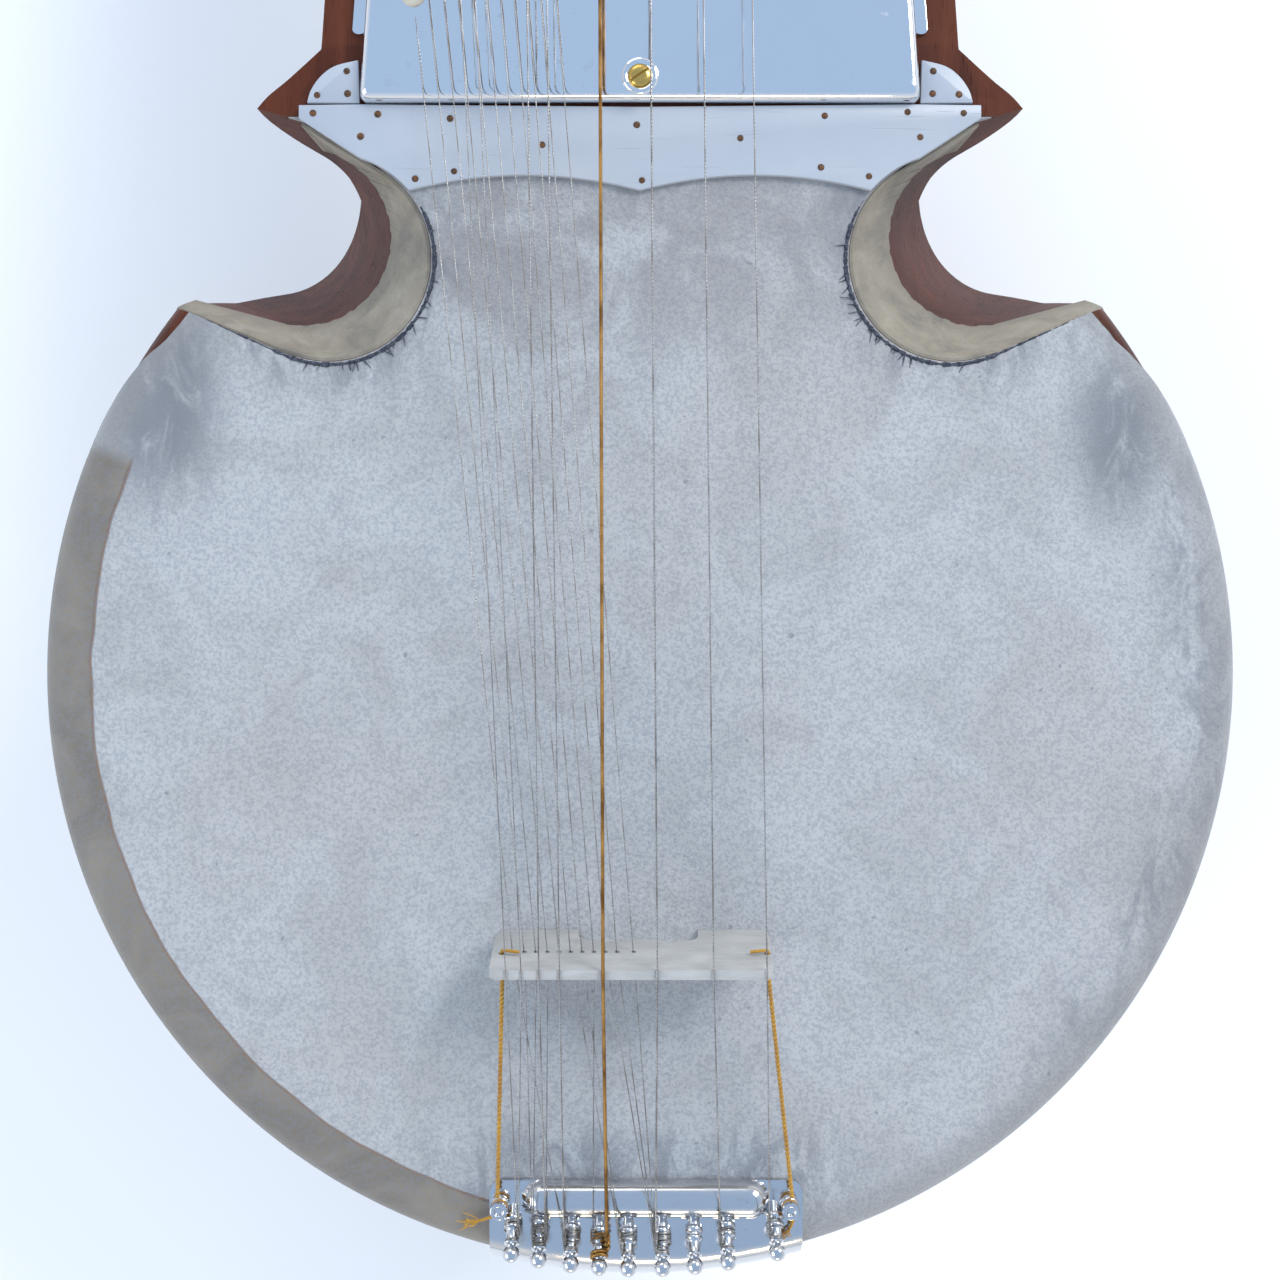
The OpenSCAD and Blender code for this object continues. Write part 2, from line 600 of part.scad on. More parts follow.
// ---------------------------------------------------------------- strings
// Half loop of a string round its tail post, from the side where it arrives
function loop_points(post, turn, d, side) = let (r = post_d / 2 + 0.15 + d / 2,
        c = post_ball(post - 1) - (loop_first + loop_pitch * turn) * post_u)
    [for (a = [0:-30:-180]) c + r * (cos(a) * [side, 0, 0] + sin(a) * post_v)];
module string_tube(start, post, turn, d) {
    from_left = start[len(start) - 1][0] < post_x[post - 1];
    loop = loop_points(post, turn, d, from_left ? -1 : 1);
    points = concat(start, loop);
    hints = concat([for (p = start) post_v], [for (p = loop) post_u]);
    tube(points, hints, d);
}
// A string over the bridge and the nut to its peg
module over_string(s, peg) {
    d = s[2];
    r = d / 2 + string_air;
    y = main_peg_y(peg);
    start = [[peg[2], y - 1.5, face_z - main_peg_drop + main_shaft_d / 2 + winding_t + 0.4 + r],
        [s[1], nut_y + 1.7, nut_top + r],
        [s[0], bridge_top_y, bridge_top_z + r + 0.25]];
    tube_color = d > 0.9 ? "peru" : "gainsboro";
    color(tube_color) string_tube(start, s[3], s[4], d);
}
// A string over the bridge and its post to a guide in the plate
module chikari_string(k) {
    s = chikari_strings[k];
    r = s[2] / 2 + string_air;
    start = concat(side_string_end(11 + k, s[2]),
        [[s[1], chikari_post_y[k] + 2.6, plate_top + chikari_post_h + r],
        [s[1], chikari_post_y[k] - 2.4, plate_top + chikari_post_h + r],
        [s[0], bridge_top_y, bridge_top_z + r + 0.25]]);
    color("gainsboro") string_tube(start, s[3], s[4], s[2]);
}
// Where a side string leaves its peg and comes up through its guide
function side_string_end(k, d) = [
    [side_wind_x(k), side_peg_y(k) - 1,
        face_z - side_peg_drop + side_shaft_d / 2 + winding_t + 0.4 + d / 2],
    [guides[k][0], guides[k][1], plate_top - 1.8],
    [guides[k][0], guides[k][1] - 0.4, plate_top + 1 + d / 2 + string_air]];
module sympathetic_strings() {
    color("gainsboro") for (k = [0:10]) string_tube(concat(side_string_end(k, sympathetic_d),
        [bridge_point(hole_x(k), bridge_t / 2, hole_up),
        bridge_point(hole_x(k), -bridge_t / 2 - 0.3, hole_up)]),
        sympathetic_posts[k][0], sympathetic_posts[k][1], sympathetic_d);
}
module main_string_1() { over_string(main_strings[0], main_pegs[0]); }
module main_string_2() { over_string(main_strings[1], main_pegs[1]); }
module main_string_3() { over_string(main_strings[2], main_pegs[2]); }
module main_string_4() { over_string(main_strings[3], main_pegs[3]); }
module jod_string_1() { over_string(jod_strings[0], jod_pegs[0]); }
module jod_string_2() { over_string(jod_strings[1], jod_pegs[1]); }

// ---------------------------------------------------------------- pegs
function main_peg_y(peg) = main_peg_first_y + main_pitch * peg[1];
function side_peg_y(k) = guide_y(k) + peg_after_guide;
// Half widths of the wood at a side peg's line: outside over the collar, and inside
function side_out(k) = half_at(neck_r(side_peg_y(k)), side_peg_drop - side_shaft_d / 2 - 3.5);
function side_in(k) = half_at(neck_r(side_peg_y(k)) - neck_wall,
    side_peg_drop + side_shaft_d / 2);
function side_wind_x(k) = -side_in(k) + 6.5;
module main_bore(peg) {
    translate([-far / 2, main_peg_y(peg), face_z - main_peg_drop]) rotate([0, 90, 0])
        cylinder(d = main_shaft_d + 2 * peg_gap, h = far);
}
module side_bore(k) {
    translate([-far / 2, side_peg_y(k), face_z - side_peg_drop]) rotate([0, 90, 0])
        cylinder(d = side_shaft_d + 2 * peg_gap, h = far / 2);
}
// A turned peg with its head at -Z and its shaft along +Z. d is the shaft, w the head.
module turned_peg(d, w, head_len, shaft_len, wind_from, wind_len) {
    r = w / 2;
    n = head_len;
    rotate_extrude() polygon([[0, -n - 2], [r * 0.18, -n - 1.8], [r * 0.24, -n - 0.8],
        [r * 0.2, -n], [r * 0.55, -n + 1], [r * 0.86, -n * 0.84], [r, -n * 0.62],
        [r * 0.94, -n * 0.42], [r * 0.7, -n * 0.26], [r * 0.48, -n * 0.2], [r * 0.46, -n * 0.14],
        [d / 2 + 2.2, -n * 0.1], [d / 2 + 2.6, -n * 0.05], [d / 2 + 2.2, 0], [d / 2, 0],
        [d / 2, wind_from], [d / 2 + winding_t, wind_from],
        [d / 2 + winding_t, wind_from + wind_len], [d / 2, wind_from + wind_len],
        [d / 2, shaft_len - 0.8], [d / 2 - 0.8, shaft_len], [0, shaft_len]]);
}
module main_peg(peg) {
    start = neck_r(main_peg_y(peg) - main_shaft_d) + 0.6;
    through = start + 2.5;
    color("sienna") translate([peg[0] * start, main_peg_y(peg), face_z - main_peg_drop])
        rotate([0, -90 * peg[0], 0])
            turned_peg(main_shaft_d, 27, 34, start + through, start - peg[0] * peg[2] - 3, 6);
}
module side_peg(k, w, n) {
    out = side_out(k) + 1;
    in = side_in(k);
    color("sienna") translate([-out, side_peg_y(k), face_z - side_peg_drop]) rotate([0, 90, 0])
        turned_peg(side_shaft_d, w, n, out - in + 12, out - in + 4, 5);
}
module main_peg_1() { main_peg(main_pegs[0]); }
module main_peg_2() { main_peg(main_pegs[1]); }
module main_peg_3() { main_peg(main_pegs[2]); }
module main_peg_4() { main_peg(main_pegs[3]); }
module jod_peg_1() { main_peg(jod_pegs[0]); }
module jod_peg_2() { main_peg(jod_pegs[1]); }
module sympathetic_peg(k) { side_peg(k - 1, 16, 22); }
module chikari_peg(k) { side_peg(10 + k, 18, 26); }

body();
skin();
waist_strip_left();
waist_strip_right();
apron();
ear_left();
ear_right();
apron_pins();
fingerboard_plate();
plate_screws();
nut();
string_grommets();
chikari_posts();
bridge();
bridge_tie_left();
bridge_tie_right();
tailpiece();
tailpiece_screws();
tailpiece_posts();
main_string_1();
main_string_2();
main_string_3();
main_string_4();
jod_string_1();
jod_string_2();
chikari_string(0);  // chikari_string_1
chikari_string(1);  // chikari_string_2
sympathetic_strings();
main_peg_1();
main_peg_2();
main_peg_3();
main_peg_4();
jod_peg_1();
jod_peg_2();
chikari_peg(1);  // chikari_peg_1
chikari_peg(2);  // chikari_peg_2
sympathetic_peg(1);  // sympathetic_peg_1
sympathetic_peg(2);  // sympathetic_peg_2
sympathetic_peg(3);  // sympathetic_peg_3
sympathetic_peg(4);  // sympathetic_peg_4
sympathetic_peg(5);  // sympathetic_peg_5
sympathetic_peg(6);  // sympathetic_peg_6
sympathetic_peg(7);  // sympathetic_peg_7
sympathetic_peg(8);  // sympathetic_peg_8
sympathetic_peg(9);  // sympathetic_peg_9
sympathetic_peg(10);  // sympathetic_peg_10
sympathetic_peg(11);  // sympathetic_peg_11
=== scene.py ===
import json
import math
import random

import bmesh
import bpy
from mathutils import Matrix, Vector


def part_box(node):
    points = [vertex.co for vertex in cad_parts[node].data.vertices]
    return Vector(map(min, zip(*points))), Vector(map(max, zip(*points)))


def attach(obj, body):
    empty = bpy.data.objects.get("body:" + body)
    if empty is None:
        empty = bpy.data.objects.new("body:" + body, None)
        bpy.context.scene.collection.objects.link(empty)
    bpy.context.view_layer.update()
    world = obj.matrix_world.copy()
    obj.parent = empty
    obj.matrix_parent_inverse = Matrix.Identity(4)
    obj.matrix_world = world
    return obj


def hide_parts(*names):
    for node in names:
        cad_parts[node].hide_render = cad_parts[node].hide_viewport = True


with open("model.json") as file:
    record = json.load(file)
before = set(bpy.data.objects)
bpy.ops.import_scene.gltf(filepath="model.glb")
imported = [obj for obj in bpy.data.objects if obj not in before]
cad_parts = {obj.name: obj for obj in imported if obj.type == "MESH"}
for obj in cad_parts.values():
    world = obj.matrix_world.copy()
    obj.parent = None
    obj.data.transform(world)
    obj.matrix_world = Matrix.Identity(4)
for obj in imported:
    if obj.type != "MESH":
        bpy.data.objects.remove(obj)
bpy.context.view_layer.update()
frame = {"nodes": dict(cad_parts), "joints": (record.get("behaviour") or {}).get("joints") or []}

bl_info = {
    "name": "Sarod looks",
    "version": (1, 0, 0),
    "blender": (4, 5, 0),
    "location": "View3D > Sidebar > Sarod",
    "description": "Carves, skins and strings a sarod round its frame",
    "category": "Object",
}

MM = 0.001
ROOT = "instrument"


# ---------------------------------------------------------------- what the frame says
def mm_box(node):
    """Lowest and highest corner of a CAD node, in millimetres."""
    low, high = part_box(node)
    return Vector(low) / MM, Vector(high) / MM


def solids(node):
    """Corner points of each separate solid of a CAD node in millimetres, ordered by x then y."""
    shape = bmesh.new()
    shape.from_mesh(frame["nodes"][node].data)
    bmesh.ops.remove_doubles(shape, verts=shape.verts, dist=1e-6)
    seen, found = set(), []
    for seed in shape.verts:
        if seed in seen:
            continue
        seen.add(seed)
        queue, points = [seed], []
        while queue:
            corner = queue.pop()
            points.append(corner.co / MM)
            for edge in corner.link_edges:
                other = edge.other_vert(corner)
                if other not in seen:
                    seen.add(other)
                    queue.append(other)
        found.append(points)
    shape.free()
    return sorted(found, key=lambda points: (round(middle(points).x, 2), round(middle(points).y, 2)))


def mean(points):
    """Average of some points."""
    return sum(points, Vector()) / len(points)


def middle(points):
    """Middle of the box round some points."""
    return (low_of(points) + high_of(points)) / 2


def low_of(points):
    """Lowest corner of the box round some points."""
    return Vector([min(p[axis] for p in points) for axis in range(3)])


def high_of(points):
    """Highest corner of the box round some points."""
    return Vector([max(p[axis] for p in points) for axis in range(3)])


def tops(node):
    """Middle of the top of each separate solid of a CAD node."""
    return [Vector((*middle(points).xy, high_of(points).z)) for points in solids(node)]


def stations(points, gap=4.0):
    """Bends of a string from the head to the tail: its rings of points, split where y leaps."""
    ordered = sorted(points, key=lambda p: -p.y)
    groups = [[ordered[0]]]
    for point in ordered[1:]:
        if groups[-1][-1].y - point.y > gap:
            groups.append([])
        groups[-1].append(point)
    return [mean(group) for group in groups]


def bends_of(node):
    """Bends of a string that has a CAD node of its own."""
    return stations([p for points in solids(node) for p in points])


SKIN_LOW, SKIN_HIGH = mm_box("skin")
PLATE_LOW, PLATE_HIGH = mm_box("fingerboard_plate")
NUT_LOW, NUT_HIGH = mm_box("nut")
APRON_LOW, APRON_HIGH = mm_box("apron")
BRIDGE_LOW, BRIDGE_HIGH = mm_box("bridge")
TAIL_LOW, TAIL_HIGH = mm_box("tailpiece")

FACE = SKIN_HIGH.z               # height of the playing face
BELLY_R = SKIN_HIGH.x            # radius over the skin
SKIN_T = 1.2                     # thickness of the skin
BOWL_R = BELLY_R - SKIN_T - 0.1  # radius of the wooden bowl
RIM_ROUND = 7.3                  # width of the bowl's rounded rim
WIDEST = FACE - 22               # height of the bowl's widest line
RIM_START = WIDEST + 7           # height where the rim starts to round over
REST_R = 40                      # radius of the flat on the back
SEAM = APRON_HIGH.y - 0.4        # the apron meets the steel plate here
NUT = NUT_LOW.y
NUT_HALF = NUT_HIGH.x
PLATE_HALF = 69.5                # half the plate's width at its foot
PLATE_TOP = PLATE_HIGH.z
NECK_RIM = 11                    # wood outside the plate
NECK_WALL = 14                   # wood beside the trough under the plate
PEGBOX_WALL = 12
PEGBOX_DEPTH = 30
SHOULDER = SEAM + 14             # the barbs end and the neck begins
BARB_HALF = 96                   # half width over the barbs at their tips
BARB_DEPTH = 40
PEGBOX_END = NUT + 200
PEGBOX_END_HALF = 36
FINIAL = PEGBOX_END + 10
CUT_AT = Vector((77.5, 103))     # middle of the round part of a waist cut
CUT_R = 26
CUT_SHELF = 18                   # depth of the parchment strip
CUT_DEPTH = 90
MAIN_SHAFT_R = 5.0
SIDE_SHAFT_R = 3.5
PEG_PLAY = 0.05                  # gap between a shaft and its bore
MAIN_PEGS = ("main_peg_1", "main_peg_2", "main_peg_3", "main_peg_4", "jod_peg_1", "jod_peg_2")
SIDE_PEGS = ("chikari_peg_1", "chikari_peg_2") + tuple(f"sympathetic_peg_{i}" for i in range(1, 12))


def plate_half(y):
    """Half width of the steel plate at a distance y from the belly's centre."""
    share = max(0.0, y - SEAM) / (NUT - 1 - SEAM)
    return PLATE_HALF - (PLATE_HALF - NUT_HALF) * share ** 1.1


def neck_half(y):
    """Half width of the neck and of the pegbox."""
    if y < NUT:
        return plate_half(y) + NECK_RIM
    start = NUT_HALF + NECK_RIM
    return start + (PEGBOX_END_HALF - start) * (y - NUT) / (PEGBOX_END - NUT)


def ease(low, high, value):
    """Smooth step from 0 at low to 1 at high."""
    share = min(1.0, max(0.0, (value - low) / (high - low)))
    return share * share * (3 - 2 * share)


def spline(points, steps):
    """Smooth curve through points, as a list with steps pieces between each two."""
    ends = [2 * Vector(points[0]) - Vector(points[1])]
    knots = ends + [Vector(p) for p in points] + [2 * Vector(points[-1]) - Vector(points[-2])]
    curve = []
    for i in range(1, len(knots) - 2):
        a, b, c, d = knots[i - 1:i + 3]
        for step in range(steps):
            t = step / steps
            curve.append(0.5 * (2 * b + (c - a) * t + (2 * a - 5 * b + 4 * c - d) * t ** 2
                                + (3 * b - a - 3 * c + d) * t ** 3))
    return curve + [knots[-2]]


# ---------------------------------------------------------------- making meshes
def linked(name, data):
    """Links a new object with its mesh, light or camera."""
    thing = bpy.data.objects.new(name, data)
    bpy.context.scene.collection.objects.link(thing)
    return thing


def mesh_object(name, points, faces, smooth_angle=None):
    """Links a new mesh object. points are in millimetres."""
    mesh = bpy.data.meshes.new(name)
    mesh.from_pydata([tuple(Vector(p) * MM) for p in points], [], faces)
    mesh.validate()
    piece = linked(name, mesh)
    reshaped(piece, outward)
    if smooth_angle is not None:
        smooth(piece, smooth_angle)
    return piece


def tool(*shapes):
    """A passing object of some shapes, to cut with or to join on."""
    return mesh_object("tool", *joined(*shapes))


def reshaped(piece, *changes):
    """Opens a piece's mesh, makes the changes and closes it."""
    shape = bmesh.new()
    shape.from_mesh(piece.data)
    for change in changes:
        change(shape)
    shape.to_mesh(piece.data)
    shape.free()


def outward(shape):
    """Turns all faces outward."""
    bmesh.ops.recalc_face_normals(shape, faces=shape.faces)


def face_up(shape):
    """Welds an open surface and turns it to face up."""
    bmesh.ops.remove_doubles(shape, verts=shape.verts, dist=2e-6)
    outward(shape)
    if sum(face.normal.z for face in shape.faces) < 0:
        bmesh.ops.reverse_faces(shape, faces=shape.faces)


def smooth(piece, angle):
    """Smooth shading with edges sharper than the angle kept crisp."""
    piece.data.shade_smooth()
    piece.data.set_sharp_from_angle(angle=math.radians(angle))


def circle_steps(sides):
    """Cosine and sine of each step round a circle."""
    return [(math.cos(2 * math.pi * k / sides), math.sin(2 * math.pi * k / sides))
            for k in range(sides)]


def rings_mesh(rings, closed=True, caps=True):
    """Points and faces of a skin over rings that have as many points each."""
    count = len(rings[0])
    points = [p for ring in rings for p in ring]
    faces = []
    for i in range(len(rings) - 1):
        for k in range(count if closed else count - 1):
            n = (k + 1) % count
            faces.append((i * count + k, i * count + n, (i + 1) * count + n, (i + 1) * count + k))
    if caps:
        faces.append(tuple(range(count)))
        faces.append(tuple(range((len(rings) - 1) * count, len(rings) * count)))
    return points, faces


def turned(profile, sides, place=Matrix.Identity(4)):
    """Points and faces of a profile of (radius, height) turned about Z, then moved to its place."""
    points, rows = [], []
    for radius, height in profile:
        steps = circle_steps(sides) if radius >= 1e-6 else [(0, 0)]
        rows.append([len(points) + k for k in range(len(steps))])
        points += [place @ Vector((radius * c, radius * s, height)) for c, s in steps]
    faces = []
    for low, high in zip(rows, rows[1:]):
        for k in range(sides):
            n = (k + 1) % sides
            if len(low) == 1 and len(high) == 1:
                continue
            if len(low) == 1:
                faces.append((low[0], high[n], high[k]))
            elif len(high) == 1:
                faces.append((low[k], low[n], high[0]))
            else:
                faces.append((low[k], low[n], high[n], high[k]))
    if len(rows[0]) > 1:
        faces.append(tuple(reversed(rows[0])))
    if len(rows[-1]) > 1:
        faces.append(tuple(rows[-1]))
    return points, faces


def rod(radius, low, high, sides, place):
    """Points and faces of a plain round rod between two heights."""
    return turned([(0, low), (radius, low), (radius, high), (0, high)], sides, place)


def joined(*shapes):
    """Several (points, faces) as one."""
    points, faces = [], []
    for more_points, more_faces in shapes:
        base = len(points)
        points += more_points
        faces += [tuple(base + i for i in face) for face in more_faces]
    return points, faces


def cord(path, radius, sides):
    """Points and faces of a round cord along a path. radius is a number or one for each point."""
    rings, side = [], Vector((0, 0, 1))
    for i, point in enumerate(path):
        before, after = path[max(0, i - 1)], path[min(len(path) - 1, i + 1)]
        along = (after - before).normalized()
        side = side - side.dot(along) * along
        if side.length < 1e-6:
            side = along.orthogonal()
        side.normalize()
        across = along.cross(side)
        r = radius[i] if isinstance(radius, list) else radius
        rings.append([point + r * (c * side + s * across) for c, s in circle_steps(sides)])
    return rings_mesh(rings)


def helix(path, radius, pitch, start, per_turn):
    """Points of a thread wound round a path, pitch millimetres a turn."""
    length = sum((b - a).length for a, b in zip(path, path[1:]))
    count = max(6, int(length / pitch * per_turn))
    points, side = [], Vector((0, 0, 1))
    for i in range(count + 1):
        want = length * i / count
        for a, b in zip(path, path[1:]):
            step = (b - a).length
            if want <= step or b is path[-1]:
                break
            want -= step
        along = (b - a).normalized()
        side = (side - side.dot(along) * along).normalized()
        turn = start + 2 * math.pi * i / per_turn
        points.append(a + along * min(want, step)
                      + radius * (math.cos(turn) * side + math.sin(turn) * along.cross(side)))
    return points


def cut(piece, tools, operation="DIFFERENCE"):
    """Cuts tools out of a piece, or joins them to it, and deletes them."""
    for other in tools:
        step = piece.modifiers.new("cut", "BOOLEAN")
        step.operation = operation
        step.solver = "MANIFOLD"
        step.object = other
        apply_modifiers(piece)
        if not piece.data.polygons:
            raise RuntimeError(f"{piece.name}: a cut left nothing of it")
        bpy.data.objects.remove(other)


def apply_modifiers(piece):
    """Replaces the mesh with what the modifiers make of it."""
    bpy.context.view_layer.update()
    shown = piece.evaluated_get(bpy.context.evaluated_depsgraph_get())
    result = bpy.data.meshes.new_from_object(shown)
    piece.modifiers.clear()
    piece.data = result


def rounded(piece, width):
    """Rounds every sharp edge of a piece, width in millimetres."""
    step = piece.modifiers.new("round", "BEVEL")
    step.width = width * MM
    step.segments = 2
    step.limit_method = "ANGLE"
    step.angle_limit = math.radians(35)
    apply_modifiers(piece)
    smooth(piece, 50)


def thickened(sheet, thickness):
    """Gives an open surface its thickness in millimetres, underneath."""
    reshaped(sheet, face_up)
    step = sheet.modifiers.new("thick", "SOLIDIFY")
    step.thickness = thickness * MM
    step.offset = -1
    apply_modifiers(sheet)


def outline_solid(outline, low, high):
    """Points and faces of a flat outline of (x, y) between two heights."""
    return rings_mesh([[Vector((x, y, z)) for x, y in outline] for z in (low, high)])


def slab(half, near, far, low, high):
    """Points and faces of a box across the middle line, between two y and two z."""
    return outline_solid([(-half, near), (half, near), (half, far), (-half, far)], low, high)


def finished(piece, material, slot, body=ROOT, replaces=()):
    """Gives a piece its material and rides it on its body."""
    piece.data.materials.clear()
    piece.data.materials.append(finish_of(material))
    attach(piece, body)
    if replaces:
        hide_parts(*replaces)


def fitted(name, shapes, angle, material, slot, **riding):
    """Makes one finished piece of several shapes."""
    finished(mesh_object(name, *joined(*shapes), angle), material, slot, **riding)


# ---------------------------------------------------------------- finishes
class Tap:
    """One output of a shader node. Arithmetic on it adds Math nodes."""

    def __init__(self, bench, socket):
        self.bench = bench
        self.socket = socket

    def math(self, operation, first, second=0.0):
        return self.bench.node("ShaderNodeMath", {"operation": operation}, {0: first, 1: second})

    def __add__(self, other):
        return self.math("ADD", self, other)

    def __radd__(self, other):
        return self.math("ADD", other, self)

    def __sub__(self, other):
        return self.math("SUBTRACT", self, other)

    def __rsub__(self, other):
        return self.math("SUBTRACT", other, self)

    def __mul__(self, other):
        return self.math("MULTIPLY", self, other)

    def __rmul__(self, other):
        return self.math("MULTIPLY", other, self)

    def __pow__(self, other):
        return self.math("POWER", self, other)

    def __rpow__(self, other):
        return self.math("POWER", other, self)

    def most(self, other):
        return self.math("MAXIMUM", self, other)

    def size(self):
        return self.math("ABSOLUTE", self)

    def between(self, low, high):
        """0 below low, 1 above high, and a smooth step between them. low may be the larger."""
        return self.bench.node("ShaderNodeMapRange", {"interpolation_type": "SMOOTHSTEP"},
                               {"Value": self, "From Min": low, "From Max": high})


class Bench:
    """The shader nodes of a material or a world."""

    def __init__(self, owner):
        self.owner = owner
        owner.use_nodes = True
        self.tree = owner.node_tree
        self.tree.nodes.clear()

    def node(self, kind, settings, values, output=0):
        """Adds a node: its settings first, then the values or links of its sockets."""
        made = self.tree.nodes.new(kind)
        for key, value in settings.items():
            if key == "stops":
                ramp = made.color_ramp
                while len(ramp.elements) < len(value):
                    ramp.elements.new(0.5)
                for element, (position, colour) in zip(ramp.elements, value):
                    element.position = position
                    element.color = (*colour, 1.0)
            else:
                setattr(made, key, value)
        for key, value in values.items():
            socket = made.inputs[key]
            if isinstance(value, Tap):
                self.tree.links.new(value.socket, socket)
            elif isinstance(value, tuple) and socket.type == "RGBA":
                socket.default_value = (*value, 1.0)
            else:
                socket.default_value = value
        return Tap(self, made.outputs[output]) if made.outputs else None

    def ramp(self, value, *stops):
        return self.node("ShaderNodeValToRGB", {"stops": stops}, {"Fac": value})


class Material(Bench):
    """A material in the making, measured in millimetres of the instrument."""

    def __init__(self, name):
        super().__init__(bpy.data.materials.new(name))
        here = self.node("ShaderNodeTexCoord", {}, {}, "Object")
        self.place = self.vector("SCALE", here, 1 / MM)
        split = self.node("ShaderNodeSeparateXYZ", {}, {0: self.place}).socket.node
        self.x, self.y, self.z = (Tap(self, axis) for axis in split.outputs)

    def vector(self, operation, first, second):
        """Vector Math on two vectors, or on a vector and a scale."""
        values = {0: first, "Scale" if operation == "SCALE" else 1: second}
        return self.node("ShaderNodeVectorMath", {"operation": operation}, values)

    def mix(self, share, first, second):
        """Colour between two colours."""
        return self.node("ShaderNodeMix", {"data_type": "RGBA"},
                         {"Factor": share, 6: first, 7: second}, 2)

    def shrunk(self, size, stretch):
        """Places divided by a size in millimetres, and by a stretch along each axis."""
        return self.vector("MULTIPLY", self.place, tuple(1 / (size * s) for s in stretch))

    def noise(self, size, detail=3.0, stretch=(1, 1, 1), roughness=0.5, warp=0.0, shift=(0, 0, 0)):
        """Noise with features of about a size in millimetres, longer where stretch is above 1."""
        moved = self.vector("ADD", self.shrunk(size, stretch), shift)
        return self.node("ShaderNodeTexNoise", {}, {"Vector": moved, "Scale": 1.0, "Detail": detail,
                                                    "Roughness": roughness, "Distortion": warp})

    def cells(self, size):
        """Distance from the middle of cells of a size in millimetres."""
        return self.node("ShaderNodeTexVoronoi", {},
                         {"Vector": self.shrunk(size, (1, 1, 1)), "Scale": 1.0})

    def crest(self):
        """Above 0.5 on edges that stand out, below it in hollows."""
        return self.node("ShaderNodeNewGeometry", {}, {}, "Pointiness")

    def raised_edges(self):
        """1 on edges that stand out, 0 elsewhere."""
        return self.crest().between(0.512, 0.572)

    def finish(self, colour, roughness, height=None, depth=0.1, metal=0.0, **fixed):
        """Feeds the shader. depth is the bump's height in millimetres; fixed values are set directly."""
        values = {"Base Color": colour, "Roughness": roughness, "Metallic": metal}
        values.update({name.replace("_", " "): value for name, value in fixed.items()})
        if height is not None:
            values["Normal"] = self.node("ShaderNodeBump", {},
                                         {"Height": height, "Distance": depth * MM, "Strength": 1.0})
        shader = self.node("ShaderNodeBsdfPrincipled", {}, values)
        self.node("ShaderNodeOutputMaterial", {}, {"Surface": shader})
        return self.owner


def carved_wood(name, dark, mid, light, stretch=(1, 14, 1), shine=0.06):
    """Polished wood; its grain runs along the axis with the large stretch."""
    b = Material(name)
    figure = b.noise(9.0, 4.0, stretch, 0.55, 0.6)
    fibre = b.noise(0.9, 3.0, tuple(2 * s for s in stretch), 0.6)
    patch = b.noise(60.0, 2.0)
    pores = b.noise(0.5, 1.0, tuple(0.9 * s for s in stretch)).between(0.62, 0.7)
    tone = figure * 0.6 + fibre * 0.28 + patch * 0.2 - 0.04
    colour = b.ramp(tone, (0.3, dark), (0.52, mid), (0.74, light))
    colour = b.mix(pores * 0.55, colour, tuple(0.45 * c for c in dark))
    colour = b.mix(b.raised_edges() * 0.35, colour, light)
    smear = b.noise(35.0, 4.0, roughness=0.65)
    rough = 0.42 + smear * 0.2 + pores * 0.2
    return b.finish(colour, rough, fibre * 0.3 - pores * 0.7 + figure * 0.4, 0.06,
                    Coat_Weight=shine, Coat_Roughness=0.12, Specular_IOR_Level=0.12)


def far(across, along, share=1.0):
    """Distance from a spot; with a share below 1, distance along the neck counts for less."""
    return (across * across + along * along * share) ** 0.5


